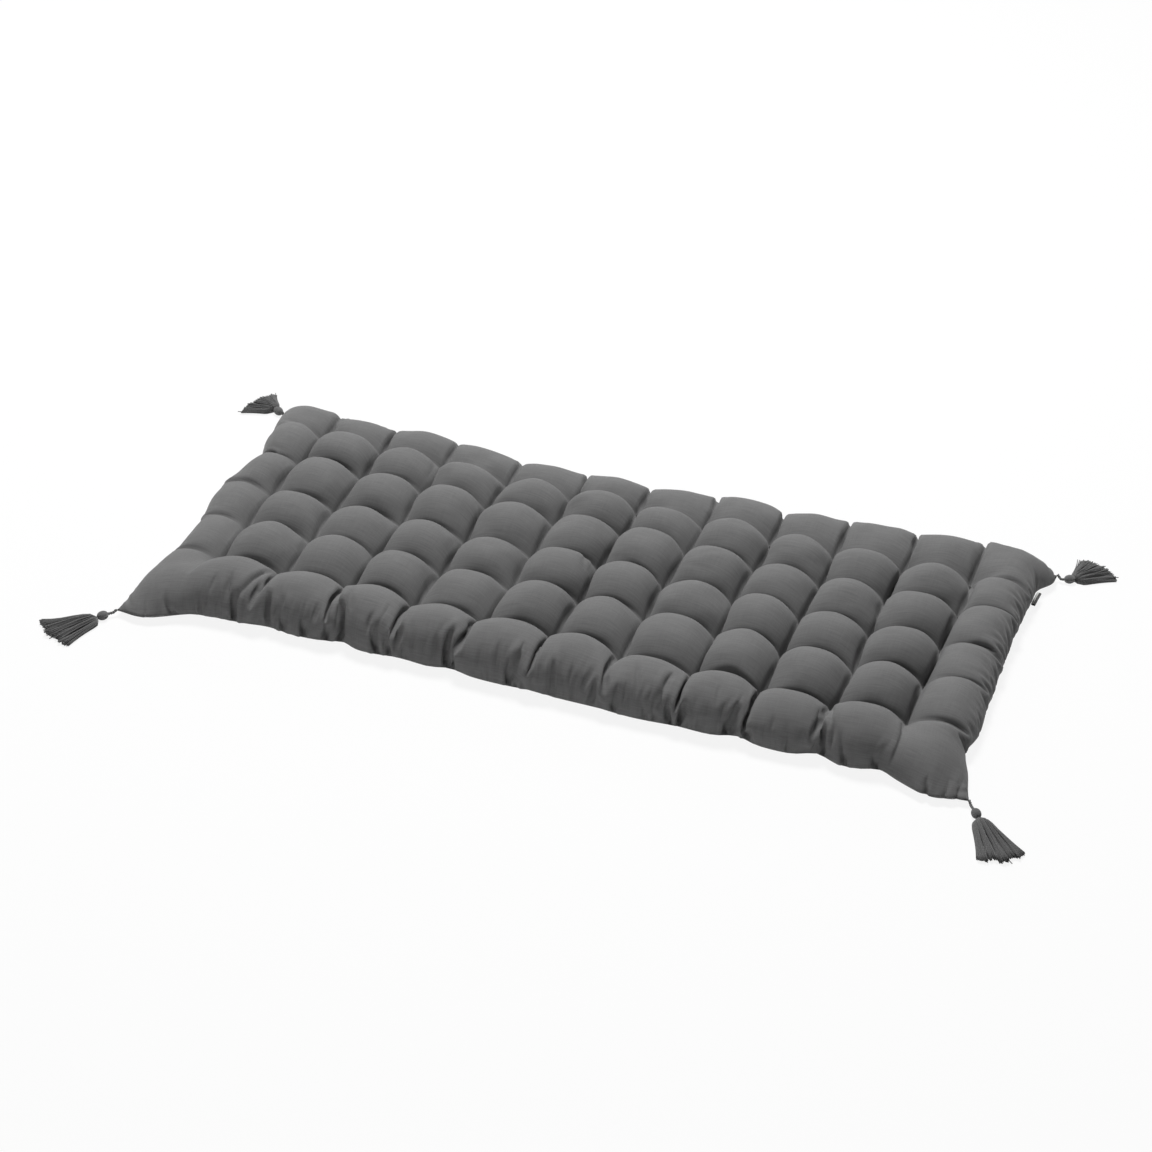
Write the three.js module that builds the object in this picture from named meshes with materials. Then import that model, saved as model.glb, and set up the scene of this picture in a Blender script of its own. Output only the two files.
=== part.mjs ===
// Tufted floor mattress with a tassel at each corner, lying on the floor.
//
// The cover is one filled bag. Stitched tufts on a square grid tie its top to
// its underside and leave 12 x 6 puffs. The puffs of the outer ring fall to the
// seam, which is drawn in between the four pointed corners. Each corner carries
// a short cord, a wrapped ball and a skirt of yarn, and a folded label is caught
// in the seam of the right short side.
//
// Millimetres, +Z up, +X along the length, and the floor at z = 0.

import * as THREE from 'three';

// ---- driving dimensions ----------------------------------------------------

const PITCH = 100; // from tuft to tuft, both ways
const PUFFS_LONG = 12;
const PUFFS_WIDE = 6;

const PUFF_TOP = 73; // height of a full puff
const PUFF_TOP_VARIES = 2.5;
const CREASE_TOP = 48; // middle of the crease between two tufts
const TUFT_TOP = 23; // where the stitches hold the top cover
const TUFT_UNDER = 8; // where the stitches hold the underside
const CREASE_UNDER = 3;
const UNDER_ROUND = 9; // more keeps the underside flat for longer towards the seam
const SEAM_HEIGHT = 12;
const TIP_HEIGHT = 9;

const FULLNESS = 0.8; // less makes the puffs fuller right up to the creases
const SADDLE = 1.7; // how soon a crease rises from its tuft
const WALL = 0.09; // how far the outer puffs stand over the seam
const WALL_DROP = 2.3; // more keeps them full for longer before they drop

// Where the cells are divided: close to the creases and the seam, wide over the
// domes. An outer cell's steps count from its seam.
const INNER_STEPS = [0, 0.12, 0.36, 0.64, 0.88];
const OUTER_STEPS = [0, 0.06, 0.2, 0.42, 0.66, 0.88];

// Tuft columns from left to right. "lift" moves a column's tufts to the back.
const COLUMNS = [
  { x: -498, lift: 2 },
  { x: -401, lift: 2 },
  { x: -303, lift: 3 },
  { x: -202, lift: -4 },
  { x: -99, lift: -5 },
  { x: 0, lift: 8 },
  { x: 100, lift: -1 },
  { x: 203, lift: -2 },
  { x: 301, lift: -4 },
  { x: 400, lift: -4 },
  { x: 498, lift: 10 },
];

// Tuft rows from front to back. A row bows by "bow" around the column "at".
const ROWS = [
  { y: -202, bow: -9, at: 8 },
  { y: -97, bow: 3, at: 6 },
  { y: 2, bow: 2, at: 6 },
  { y: 104, bow: 3, at: 6 },
  { y: 195, bow: -9, at: 5 },
];
const BOW_REACH = 2.4; // in columns

// The four sides: where the seam lies in the middle of the side, how far it bows
// in around a place along it, how far the corners at its start and its end run
// out past it, how far along the seam, in cells, those points reach, the height
// of the puffs there, and how soon the creases between them fade to the seam.
const SIDES = {
  left: { at: -567, bow: 3, bowAt: 3, start: -18, startReach: 0.5, end: -29, endReach: 0.6, top: 66, fade: 1 },
  right: { at: 593, bow: -12, bowAt: 4.8, start: 23, startReach: 0.5, end: 24, endReach: 0.7, top: 69, fade: 0.7 },
  front: { at: -302, bow: 0, bowAt: 6, start: -28, startReach: 0.6, end: -6, endReach: 0.6, top: 71, fade: 0.35 },
  back: { at: 298, bow: -20, bowAt: 4.7, start: -10, startReach: 0.4, end: 8, endReach: 0.5, top: 61, fade: 1.4 },
};
const SIDE_BOW_REACH = 3; // in cells
const SCALLOP = 3; // how far the seam bulges at each puff

// The seam's unevenness: side, place along it in cells, how far it is drawn in
// there by a gather or, below zero, pushed out by the filling, and over how many
// cells.
const GATHERS = [
  { side: 'front', at: 0.45, depth: -31, reach: 0.48 },
  { side: 'front', at: 2.2, depth: 5, reach: 0.2 },
  { side: 'front', at: 3.25, depth: 12, reach: 0.2 },
  { side: 'front', at: 4.2, depth: 5, reach: 0.3 },
  { side: 'front', at: 4.8, depth: 10, reach: 0.2 },
  { side: 'front', at: 7.3, depth: -4, reach: 0.5 },
  { side: 'front', at: 8.85, depth: 12, reach: 0.22 },
  { side: 'front', at: 10, depth: 15, reach: 0.22 },
  { side: 'front', at: 10.85, depth: 12, reach: 0.2 },
  { side: 'front', at: 11.55, depth: -20, reach: 0.35 },
  { side: 'back', at: 1.4, depth: 16, reach: 0.9 },
  { side: 'back', at: 2.1, depth: 6, reach: 0.24 },
  { side: 'back', at: 4.1, depth: 14, reach: 0.9 },
  { side: 'back', at: 6, depth: 10, reach: 0.7 },
  { side: 'back', at: 7.2, depth: -8, reach: 0.5 },
  { side: 'back', at: 7.9, depth: 8, reach: 0.24 },
  { side: 'back', at: 9.4, depth: -14, reach: 0.7 },
  { side: 'back', at: 11.1, depth: -25, reach: 0.9 },
  { side: 'left', at: 0.4, depth: -12, reach: 0.6 },
  { side: 'left', at: 2.7, depth: -14, reach: 0.6 },
  { side: 'left', at: 3.9, depth: 13, reach: 0.35 },
  { side: 'left', at: 5.2, depth: -8, reach: 0.6 },
  { side: 'right', at: 0.85, depth: 9, reach: 0.3 },
  { side: 'right', at: 5.75, depth: -7, reach: 0.2 },
];

const GAP = 0.3; // between pieces that touch

// Tassels. "heading" is the way the skirt points on the floor, in degrees from
// +X, "spread" is the width of its cut end.
const TASSELS = [
  { corner: 'fl', cord: [-13, -16], heading: 236, length: 70, spread: 78 },
  { corner: 'fr', cord: [13, -19], heading: 302, length: 85, spread: 72 },
  { corner: 'bl', cord: [-7, 6], heading: 156, length: 38, spread: 74 },
  { corner: 'br', cord: [12, -1], heading: 56, length: 57, spread: 78 },
];
const CORD_RADIUS = 2.1;
const CORD_SIDES = 8;
const BALL_RADIUS = 8;
const BALL_LENGTH = 17;
const BALL_SIDES = 12;
const BALL_RINGS = 7;
const NECK = 0.5; // more room where the skirt turns away from the ball
const SKIRT_HEIGHT = 17;
const SKIRT_SIDES = 16;
const LOCKS = 5; // bundles that show on top of a skirt
const LOCK_DEPTH = 0.16;

// Sections of a skirt: place along it, width and height, as shares of its
// length, its spread and its height.
const SKIRT_SECTIONS = [
  { along: 0, width: 0.06, height: 0.4 },
  { along: 0.05, width: 0.26, height: 0.8 },
  { along: 0.15, width: 0.36, height: 0.98 },
  { along: 0.4, width: 0.56, height: 0.9 },
  { along: 0.7, width: 0.8, height: 0.72 },
  { along: 0.93, width: 0.97, height: 0.6 },
  { along: 1, width: 1, height: 0.52 },
];
const CUT_BOW = 0.16; // how much further the middle strands reach

const LABEL = { y: 227, length: 35, reach: 6.5, leaf: 1.0, gap: 1.2, turn: -4 };

// ---- materials ---------------------------------------------------------------

const cloth = new THREE.MeshStandardMaterial({ color: 0x55565a, roughness: 0.92, metalness: 0 });
const yarn = new THREE.MeshStandardMaterial({ color: 0x3f4043, roughness: 0.95, metalness: 0 });
const wrap = new THREE.MeshStandardMaterial({ color: 0x4f5053, roughness: 0.9, metalness: 0 });
const tape = new THREE.MeshStandardMaterial({ color: 0xd9d9d6, roughness: 0.8, metalness: 0 });

// ---- the plan: where each line of the cover runs ----------------------------

const bell = (distance, reach) => Math.exp(-((distance / reach) ** 2));

// The seam's distance from the middle at a place along it, counted in cells.
function seamLine(side, place, cells) {
  const { at, bow, bowAt, start, startReach, end, endReach } = SIDES[side];
  const outward = Math.sign(at);
  const middle = at + bow * bell(place - bowAt, SIDE_BOW_REACH);
  const nearStart = Math.exp(-place / startReach);
  const nearEnd = Math.exp(-(cells - place) / endReach);
  const flare = start * nearStart + end * nearEnd;
  const scallop = outward * SCALLOP * Math.abs(Math.sin(Math.PI * place)) * (1 - nearStart - nearEnd);
  let drawnIn = 0;
  for (const gather of GATHERS) {
    if (gather.side === side) drawnIn += gather.depth * bell(place - gather.at, gather.reach);
  }
  return middle + flare + scallop - outward * drawnIn;
}

// A tuft column's x, and a tuft row's y at a place along it.
function columnLine(i, v) {
  if (i === 0) return seamLine('left', v, PUFFS_WIDE);
  if (i === PUFFS_LONG) return seamLine('right', v, PUFFS_WIDE);
  return COLUMNS[i - 1].x;
}

function rowLine(j, u) {
  if (j === 0) return seamLine('front', u, PUFFS_LONG);
  if (j === PUFFS_WIDE) return seamLine('back', u, PUFFS_LONG);
  const row = ROWS[j - 1];
  const left = Math.min(Math.max(Math.floor(u), 1), COLUMNS.length - 1);
  const share = Math.min(Math.max(u - left, 0), 1);
  const lift = COLUMNS[left - 1].lift * (1 - share) + COLUMNS[left].lift * share;
  return row.y + row.bow * bell(u - row.at, BOW_REACH) + lift;
}

// Between two lines. Beside the seam the step from it is held back, so that the
// outer puffs fall steeply.
function between(low, high, share, atStart, atEnd) {
  let s = share;
  if (atStart) s = share - WALL * Math.sin(Math.PI * share);
  if (atEnd) s = share + WALL * Math.sin(Math.PI * share);
  return low + (high - low) * s;
}

function planAt(u, v) {
  const i = Math.min(Math.floor(u), PUFFS_LONG - 1);
  const j = Math.min(Math.floor(v), PUFFS_WIDE - 1);
  const x = between(columnLine(i, v), columnLine(i + 1, v), u - i, i === 0, i === PUFFS_LONG - 1);
  const y = between(rowLine(j, u), rowLine(j + 1, u), v - j, j === 0, j === PUFFS_WIDE - 1);
  return [x, y];
}

// ---- heights -----------------------------------------------------------------

// One way across a cell: how near its crease a place is, from 0 in the middle to
// 1, and how near the seam it is, from 0 at the last tufts to 1. An outer cell
// has a crease on its tuft side only.
function bearing(share, first, last) {
  if (first) return { crease: Math.max(0, 2 * share - 1), seam: 1 - share };
  if (last) return { crease: Math.max(0, 1 - 2 * share), seam: share };
  return { crease: Math.abs(2 * share - 1), seam: 0 };
}

function cellAt(u, v) {
  const i = Math.min(Math.floor(u), PUFFS_LONG - 1);
  const j = Math.min(Math.floor(v), PUFFS_WIDE - 1);
  const sides = [];
  if (i === 0) sides.push(SIDES.left);
  if (i === PUFFS_LONG - 1) sides.push(SIDES.right);
  if (j === 0) sides.push(SIDES.front);
  if (j === PUFFS_WIDE - 1) sides.push(SIDES.back);
  return {
    x: bearing(u - i, i === 0, i === PUFFS_LONG - 1),
    y: bearing(v - j, j === 0, j === PUFFS_WIDE - 1),
    top: Math.min(PUFF_TOP, ...sides.map((side) => side.top)),
    fade: Math.max(1, ...sides.map((side) => side.fade)),
    swell: PUFF_TOP_VARIES * Math.sin(1.7 * i + 2.6 * j),
  };
}

const dome = (t) => Math.max(0, 1 - t * t) ** FULLNESS;
const fall = (near) => Math.sqrt(Math.max(0, 1 - near ** WALL_DROP));

function seamHeight(cell) {
  const tip = cell.x.seam * cell.y.seam;
  return SEAM_HEIGHT + (TIP_HEIGHT - SEAM_HEIGHT) * tip ** 4;
}

function topHeight(u, v) {
  const cell = cellAt(u, v);
  const { x, y } = cell;
  const stay = fall(x.seam) * fall(y.seam);
  const foot = TUFT_TOP + (seamHeight(cell) - TUFT_TOP) * Math.max(x.seam, y.seam);
  const saddle = (CREASE_TOP - TUFT_TOP) * (1 - (x.crease * y.crease) ** SADDLE);
  const acrossX = 1 - (1 - dome(x.crease)) * (1 - y.seam) ** cell.fade;
  const acrossY = 1 - (1 - dome(y.crease)) * (1 - x.seam) ** cell.fade;
  const puff = (cell.top + cell.swell - CREASE_TOP) * acrossX * acrossY;
  return foot + (saddle + puff) * stay;
}

// The underside lies flat on the floor, with low channels between its pads.
function underHeight(u, v) {
  const cell = cellAt(u, v);
  const { x, y } = cell;
  const rise = Math.max(x.seam, y.seam) ** UNDER_ROUND * seamHeight(cell);
  let channel = 0;
  if (x.crease === 1 || y.crease === 1) channel = CREASE_UNDER;
  if (x.crease === 1 && y.crease === 1) channel = TUFT_UNDER;
  return Math.max(channel * fall(x.seam) * fall(y.seam), rise);
}

// ---- solids --------------------------------------------------------------------

function solid(points, faces) {
  const geometry = new THREE.BufferGeometry();
  geometry.setAttribute('position', new THREE.Float32BufferAttribute(points.flat(), 3));
  geometry.setIndex(faces.flat());
  geometry.computeVertexNormals();
  return geometry;
}

// Two triangles of a four-sided face, cut along the shorter diagonal, or along
// the one that runs to a tip where a corner of the face is one.
function quad(points, a, b, c, d, tip = -1) {
  const length = (p, q) => Math.hypot(...points[p].map((value, k) => value - points[q][k]));
  const alongAC = [[a, b, c], [a, c, d]];
  const alongBD = [[a, b, d], [b, c, d]];
  if (tip === a || tip === c) return alongAC;
  if (tip === b || tip === d) return alongBD;
  return length(a, c) <= length(b, d) ? alongAC : alongBD;
}

// Where the cover is divided along a side of so many cells.
function divisions(cells) {
  const places = [...OUTER_STEPS];
  for (let cell = 1; cell < cells - 1; cell++) {
    for (const step of INNER_STEPS) places.push(cell + step);
  }
  places.push(cells - 1);
  for (const step of OUTER_STEPS.toReversed()) places.push(cells - step);
  return places;
}

function mattressGeometry() {
  const us = divisions(PUFFS_LONG);
  const vs = divisions(PUFFS_WIDE);
  const points = [];
  const onSeam = (a, b) => a === 0 || b === 0 || a === us.length - 1 || b === vs.length - 1;
  const top = us.map((u) => vs.map((v) => points.push([...planAt(u, v), topHeight(u, v)]) - 1));
  const under = us.map((u, a) => vs.map((v, b) => (
    onSeam(a, b) ? top[a][b] : points.push([...planAt(u, v), underHeight(u, v)]) - 1
  )));
  const ends = [top[0], top[us.length - 1]];
  const tips = ends.flatMap((line) => [line[0], line[vs.length - 1]]);
  const faces = [];
  for (let a = 0; a + 1 < us.length; a++) {
    for (let b = 0; b + 1 < vs.length; b++) {
      const above = [top[a][b], top[a + 1][b], top[a + 1][b + 1], top[a][b + 1]];
      const below = [under[a][b], under[a][b + 1], under[a + 1][b + 1], under[a + 1][b]];
      const tip = above.find((corner) => tips.includes(corner));
      faces.push(...quad(points, ...above, tip), ...quad(points, ...below, tip));
    }
  }
  return solid(points, faces);
}

// A closed skin over rings of points, from the first ring's middle to the last's.
function loft(rings) {
  const points = rings.flat();
  const sides = rings[0].length;
  const middle = (ring) => [0, 1, 2].map((k) => ring.reduce((sum, p) => sum + p[k], 0) / sides);
  const first = points.push(middle(rings[0])) - 1;
  const last = points.push(middle(rings[rings.length - 1])) - 1;
  const end = (rings.length - 1) * sides;
  const faces = [];
  for (let k = 0; k < sides; k++) {
    const next = (k + 1) % sides;
    faces.push([first, next, k], [last, end + k, end + next]);
    for (let ring = 0; ring < end; ring += sides) {
      faces.push(...quad(points, ring + k, ring + next, ring + sides + next, ring + sides + k));
    }
  }
  return solid(points, faces);
}

// ---- tassels -------------------------------------------------------------------

const polar = (length, degrees) => new THREE.Vector3(
  length * Math.cos(THREE.MathUtils.degToRad(degrees)),
  length * Math.sin(THREE.MathUtils.degToRad(degrees)),
  0,
);

// A cord from one point to another, which comes in straight to its end.
function cordGeometry(from, to, lie) {
  const straight = to.clone().addScaledVector(lie, -from.distanceTo(to) / 3);
  const middle = from.clone().lerp(straight, 0.5);
  middle.z -= CORD_RADIUS / 2;
  const section = new THREE.Shape(polarRing(CORD_RADIUS, CORD_SIDES));
  return new THREE.ExtrudeGeometry(section, {
    steps: 6,
    bevelEnabled: false,
    extrudePath: new THREE.CatmullRomCurve3([from, middle, straight, to]),
  });
}

function polarRing(radius, sides) {
  const ring = [];
  for (let k = 0; k < sides; k++) {
    const p = polar(radius, (360 * k) / sides);
    ring.push(new THREE.Vector2(p.x, p.y));
  }
  return ring;
}

// An oval of yarn wound around the head, a little square at its two ends.
function ballGeometry() {
  const profile = [];
  for (let k = 0; k <= BALL_RINGS; k++) {
    const turn = (Math.PI * k) / BALL_RINGS;
    const height = (-BALL_LENGTH / 2) * Math.cos(turn);
    profile.push(new THREE.Vector2(BALL_RADIUS * Math.sin(turn) ** 0.85, height));
  }
  profile[0].x = 0;
  profile[BALL_RINGS].x = 0;
  return new THREE.LatheGeometry(profile, BALL_SIDES);
}

// The skirt along +X from its neck: flat on the floor, rounded above, in locks.
function skirtGeometry(length, spread) {
  const rings = SKIRT_SECTIONS.map(({ along, width, height }) => {
    const ring = [];
    for (let k = 0; k < SKIRT_SIDES; k++) {
      const turn = (2 * Math.PI * k) / SKIRT_SIDES;
      const side = Math.cos(turn);
      const lock = 1 - LOCK_DEPTH * along * Math.cos(LOCKS * Math.PI * side) ** 2;
      const up = Math.sin(turn) > 0 ? Math.sin(turn) ** 0.8 * lock : 0;
      const x = length * along * (1 - CUT_BOW * along * side * side);
      ring.push([x, (spread / 2) * width * side, SKIRT_HEIGHT * (0.1 + 0.9 * up) * height]);
      if (Math.sin(turn) < 0) ring[k][2] = 0;
    }
    return ring;
  });
  return loft(rings);
}

function piece(name, geometry, material) {
  const mesh = new THREE.Mesh(geometry, material);
  mesh.name = name;
  return mesh;
}

function tassel({ corner, cord, heading, length, spread }, tip) {
  const group = new THREE.Group();
  const outward = new THREE.Vector3(cord[0], cord[1], 0).normalize();
  const headway = polar(1, heading);
  const lie = outward.clone().add(headway).normalize();

  const start = new THREE.Vector3(tip[0], tip[1], TIP_HEIGHT).addScaledVector(outward, GAP + 1.2);
  const reach = new THREE.Vector3(tip[0] + cord[0], tip[1] + cord[1], BALL_RADIUS);
  const centre = reach.clone().addScaledVector(lie, BALL_LENGTH / 2);
  const end = reach.clone().addScaledVector(lie, -2 * GAP);
  group.add(piece(`tassel_cord_${corner}`, cordGeometry(start, end, lie), wrap));

  const ball = piece(`tassel_ball_${corner}`, ballGeometry(), wrap);
  ball.position.copy(centre);
  ball.quaternion.setFromUnitVectors(new THREE.Vector3(0, 1, 0), lie);
  group.add(ball);

  const skirt = piece(`tassel_skirt_${corner}`, skirtGeometry(length, spread), yarn);
  skirt.position.copy(centre).addScaledVector(lie, BALL_LENGTH / 2 + GAP + NECK).setZ(0);
  skirt.rotation.z = THREE.MathUtils.degToRad(heading);
  group.add(skirt);
  return group;
}

// ---- label -----------------------------------------------------------------------

// A short tape folded in half, with its two ends in the seam.
function labelGeometry() {
  const { length, reach, leaf, gap } = LABEL;
  const outer = leaf + gap / 2;
  const fold = reach - outer;
  const section = new THREE.Shape();
  section.moveTo(0, outer);
  section.lineTo(0, gap / 2);
  section.lineTo(fold, gap / 2);
  section.absarc(fold, 0, gap / 2, Math.PI / 2, -Math.PI / 2, true);
  section.lineTo(0, -gap / 2);
  section.lineTo(0, -outer);
  section.lineTo(fold, -outer);
  section.absarc(fold, 0, outer, -Math.PI / 2, Math.PI / 2, false);
  section.lineTo(0, outer);
  const geometry = new THREE.ExtrudeGeometry(section, {
    depth: length, bevelEnabled: false, curveSegments: 5,
  });
  geometry.rotateX(Math.PI / 2);
  return geometry;
}

function label() {
  const place = PUFFS_WIDE / 2 + LABEL.y / PITCH;
  const mesh = piece('side_label', labelGeometry(), tape);
  const seamX = seamLine('right', place, PUFFS_WIDE);
  mesh.position.set(seamX + LABEL.gap + GAP, LABEL.y + LABEL.length / 2, SEAM_HEIGHT);
  mesh.rotation.z = THREE.MathUtils.degToRad(LABEL.turn);
  return mesh;
}

// ---- the whole mattress ------------------------------------------------------------

const cornerPlace = { fl: [0, 0], fr: [PUFFS_LONG, 0], bl: [0, PUFFS_WIDE], br: [PUFFS_LONG, PUFFS_WIDE] };

const model = new THREE.Group();
model.add(piece('mattress', mattressGeometry(), cloth));
for (const entry of TASSELS) model.add(tassel(entry, planAt(...cornerPlace[entry.corner])));
model.add(label());

// The origin is under the middle of the whole, tassels included.
const box = new THREE.Box3().setFromObject(model, true);
model.position.set(-(box.min.x + box.max.x) / 2, -(box.min.y + box.max.y) / 2, 0);

const floorMattress = new THREE.Group();
floorMattress.add(model);

export default floorMattress;
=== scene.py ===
# %% [markdown]
# # A tufted floor mattress
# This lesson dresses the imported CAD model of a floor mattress. The real one is a
# dark grey cotton cover, filled and tied down on a square grid of tufts, with a
# tassel at each corner and a small folded label in one short side.
# The CAD solids keep their place and size. All that is soft is made again here as
# cloth, cord and yarn, in the same frame and in metres.

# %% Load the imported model
import math

import bpy
import numpy as np
from mathutils import Matrix, Vector


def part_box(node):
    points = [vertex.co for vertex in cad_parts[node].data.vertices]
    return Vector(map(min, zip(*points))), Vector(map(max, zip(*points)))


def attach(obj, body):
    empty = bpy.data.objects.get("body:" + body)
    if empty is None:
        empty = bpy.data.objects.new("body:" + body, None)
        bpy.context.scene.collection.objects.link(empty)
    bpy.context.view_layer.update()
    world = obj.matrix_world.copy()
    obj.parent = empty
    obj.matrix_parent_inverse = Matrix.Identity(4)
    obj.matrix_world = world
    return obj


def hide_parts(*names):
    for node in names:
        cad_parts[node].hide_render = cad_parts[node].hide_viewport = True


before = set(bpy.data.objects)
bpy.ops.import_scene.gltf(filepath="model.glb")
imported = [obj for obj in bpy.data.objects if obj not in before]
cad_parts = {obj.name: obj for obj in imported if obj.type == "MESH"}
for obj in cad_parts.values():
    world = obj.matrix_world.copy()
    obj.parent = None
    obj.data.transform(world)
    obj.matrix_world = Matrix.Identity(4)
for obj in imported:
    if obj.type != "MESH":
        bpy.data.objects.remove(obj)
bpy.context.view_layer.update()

# %% [markdown]
# ## The camera
# The camera comes first, so that each piece can be judged in its frame. It could be
# placed by hand, but angles round a target say plainly how it looks at the object:
# from a little to the right, about 31 degrees above the floor, and rolled slightly.

# %% Place the camera
CAMERA_AZIMUTH = math.radians(15.43)
CAMERA_ELEVATION = math.radians(30.92)
CAMERA_ROLL = math.radians(4.88)
CAMERA_DISTANCE = 5.081
CAMERA_LENS = 111.95
TARGET_FROM_COVER = Vector((-0.03395, -0.0163))
TARGET_HEIGHT = 0.036

cover_low, cover_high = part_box("mattress")
cover_middle = (cover_low + cover_high) / 2
target = Vector((cover_middle.x + TARGET_FROM_COVER.x, cover_middle.y + TARGET_FROM_COVER.y, TARGET_HEIGHT))
back = Vector((
    math.sin(CAMERA_AZIMUTH) * math.cos(CAMERA_ELEVATION),
    -math.cos(CAMERA_AZIMUTH) * math.cos(CAMERA_ELEVATION),
    math.sin(CAMERA_ELEVATION),
))
level = Vector((math.cos(CAMERA_AZIMUTH), math.sin(CAMERA_AZIMUTH), 0))
upright = back.cross(level)
right = level * math.cos(CAMERA_ROLL) + upright * math.sin(CAMERA_ROLL)
up = upright * math.cos(CAMERA_ROLL) - level * math.sin(CAMERA_ROLL)

camera_data = bpy.data.cameras.new("camera")
camera_data.lens = CAMERA_LENS
camera_data.sensor_width = 36
camera_data.clip_end = 100
camera = bpy.data.objects.new("camera", camera_data)
bpy.context.scene.collection.objects.link(camera)
camera.matrix_world = Matrix((
    (right.x, up.x, back.x, target.x + back.x * CAMERA_DISTANCE),
    (right.y, up.y, back.y, target.y + back.y * CAMERA_DISTANCE),
    (right.z, up.z, back.z, target.z + back.z * CAMERA_DISTANCE),
    (0, 0, 0, 1),
))
bpy.context.scene.camera = camera
print("camera looks at", tuple(round(value, 4) for value in target))

# %% [markdown]
# ## Light
# A soft studio light needs a large lamp close by, because a lamp's size over its
# distance sets how soft its shadows are. The main one hangs overhead, a little behind
# and to the left, so each puff is bright on top and darker on the side towards us. A
# weak one in front keeps that side from going black. A low one at the back draws a
# light rim along the far edges, as a white backdrop does. The world fills the rest,
# and the view transform stays Standard, so that a colour renders about as written.

# %% Lamps and world
bpy.context.scene.view_settings.view_transform = "Standard"
KEY_PLACE = (-0.7, 1.4, 4.3)
KEY_SIZE = 1.5
KEY_POWER = 230
FILL_PLACE = (-1.0, -4.4, 2.2)
FILL_SIZE = 1.6
FILL_POWER = 25
RIM_PLACE = (-2.0, 4.4, 1.7)
RIM_SIZE = 1.6
RIM_POWER = 40
WORLD_STRENGTH = 0.04


def soft_lamp(name, place, size, power):
    data = bpy.data.lights.new(name, "AREA")
    data.shape = "DISK"
    data.size = size
    data.energy = power
    lamp = bpy.data.objects.new(name, data)
    bpy.context.scene.collection.objects.link(lamp)
    lamp.location = place
    lamp.rotation_euler = (target - Vector(place)).to_track_quat("-Z", "Y").to_euler()
    return lamp


soft_lamp("key_lamp", KEY_PLACE, KEY_SIZE, KEY_POWER)
soft_lamp("fill_lamp", FILL_PLACE, FILL_SIZE, FILL_POWER)
soft_lamp("rim_lamp", RIM_PLACE, RIM_SIZE, RIM_POWER)


def add_node(tree, kind, **settings):
    """One node, with its settings and the values of its sockets by name."""
    made = tree.nodes.new(kind)
    for name, value in settings.items():
        if name in made.bl_rna.properties:
            setattr(made, name, value)
        else:
            made.inputs[name.replace("_", " ")].default_value = value
    return made


def seen_plainly(tree):
    """1 where a ray comes straight from the camera, off a mirror or through glass."""
    path = add_node(tree, "ShaderNodeLightPath")
    mirror = add_node(tree, "ShaderNodeMath", operation="MAXIMUM")
    plain = add_node(tree, "ShaderNodeMath", operation="MAXIMUM")
    tree.links.new(path.outputs["Is Glossy Ray"], mirror.inputs[0])
    tree.links.new(path.outputs["Is Transmission Ray"], mirror.inputs[1])
    tree.links.new(path.outputs["Is Camera Ray"], plain.inputs[0])
    tree.links.new(mirror.outputs[0], plain.inputs[1])
    return plain.outputs[0]


world = bpy.data.worlds.new("studio")
bpy.context.scene.world = world
world.use_nodes = True
sky = world.node_tree
sky.nodes.clear()
sky_light = add_node(sky, "ShaderNodeBackground", Color=(1, 1, 1, 1), Strength=WORLD_STRENGTH)
sky_white = add_node(sky, "ShaderNodeBackground", Color=(1, 1, 1, 1), Strength=1)
sky_mix = add_node(sky, "ShaderNodeMixShader")
sky_out = add_node(sky, "ShaderNodeOutputWorld")
sky.links.new(seen_plainly(sky), sky_mix.inputs[0])
sky.links.new(sky_light.outputs[0], sky_mix.inputs[1])
sky.links.new(sky_white.outputs[0], sky_mix.inputs[2])
sky.links.new(sky_mix.outputs[0], sky_out.inputs[0])
print("lamps of", KEY_POWER, FILL_POWER, "and", RIM_POWER, "W, world", WORLD_STRENGTH)

# %% [markdown]
# ## The floor
# The floor is a plain white sheet. If the lamps alone made it white, they would be
# too bright for the cloth, so the camera sees a mix of plain white and the lit
# floor. The lit share still carries the soft shadow under the mattress.

# %% A plain floor
FLOOR_HALF = 9
FLOOR_LIT_SHARE = 0.12

floor_mesh = bpy.data.meshes.new("floor")
floor_corners = [(-1, -1), (1, -1), (1, 1), (-1, 1)]
floor_mesh.from_pydata([(x * FLOOR_HALF, y * FLOOR_HALF, 0) for x, y in floor_corners], [], [(0, 1, 2, 3)])
floor = bpy.data.objects.new("floor", floor_mesh)
bpy.context.scene.collection.objects.link(floor)

floor_paint = bpy.data.materials.new("floor_paint")
floor_paint.use_nodes = True
tree = floor_paint.node_tree
tree.nodes.clear()
lit = add_node(tree, "ShaderNodeBsdfDiffuse", Color=(0.86, 0.86, 0.86, 1))
white = add_node(tree, "ShaderNodeEmission", Color=(1, 1, 1, 1), Strength=1)
share = add_node(tree, "ShaderNodeMath", operation="MULTIPLY")
share.inputs[1].default_value = 1 - FLOOR_LIT_SHARE
mixed = add_node(tree, "ShaderNodeMixShader")
out = add_node(tree, "ShaderNodeOutputMaterial")
tree.links.new(seen_plainly(tree), share.inputs[0])
tree.links.new(share.outputs[0], mixed.inputs[0])
tree.links.new(lit.outputs[0], mixed.inputs[1])
tree.links.new(white.outputs[0], mixed.inputs[2])
tree.links.new(mixed.outputs[0], out.inputs[0])
floor_mesh.materials.append(floor_paint)
print("floor", 2 * FLOOR_HALF, "m across")

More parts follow.
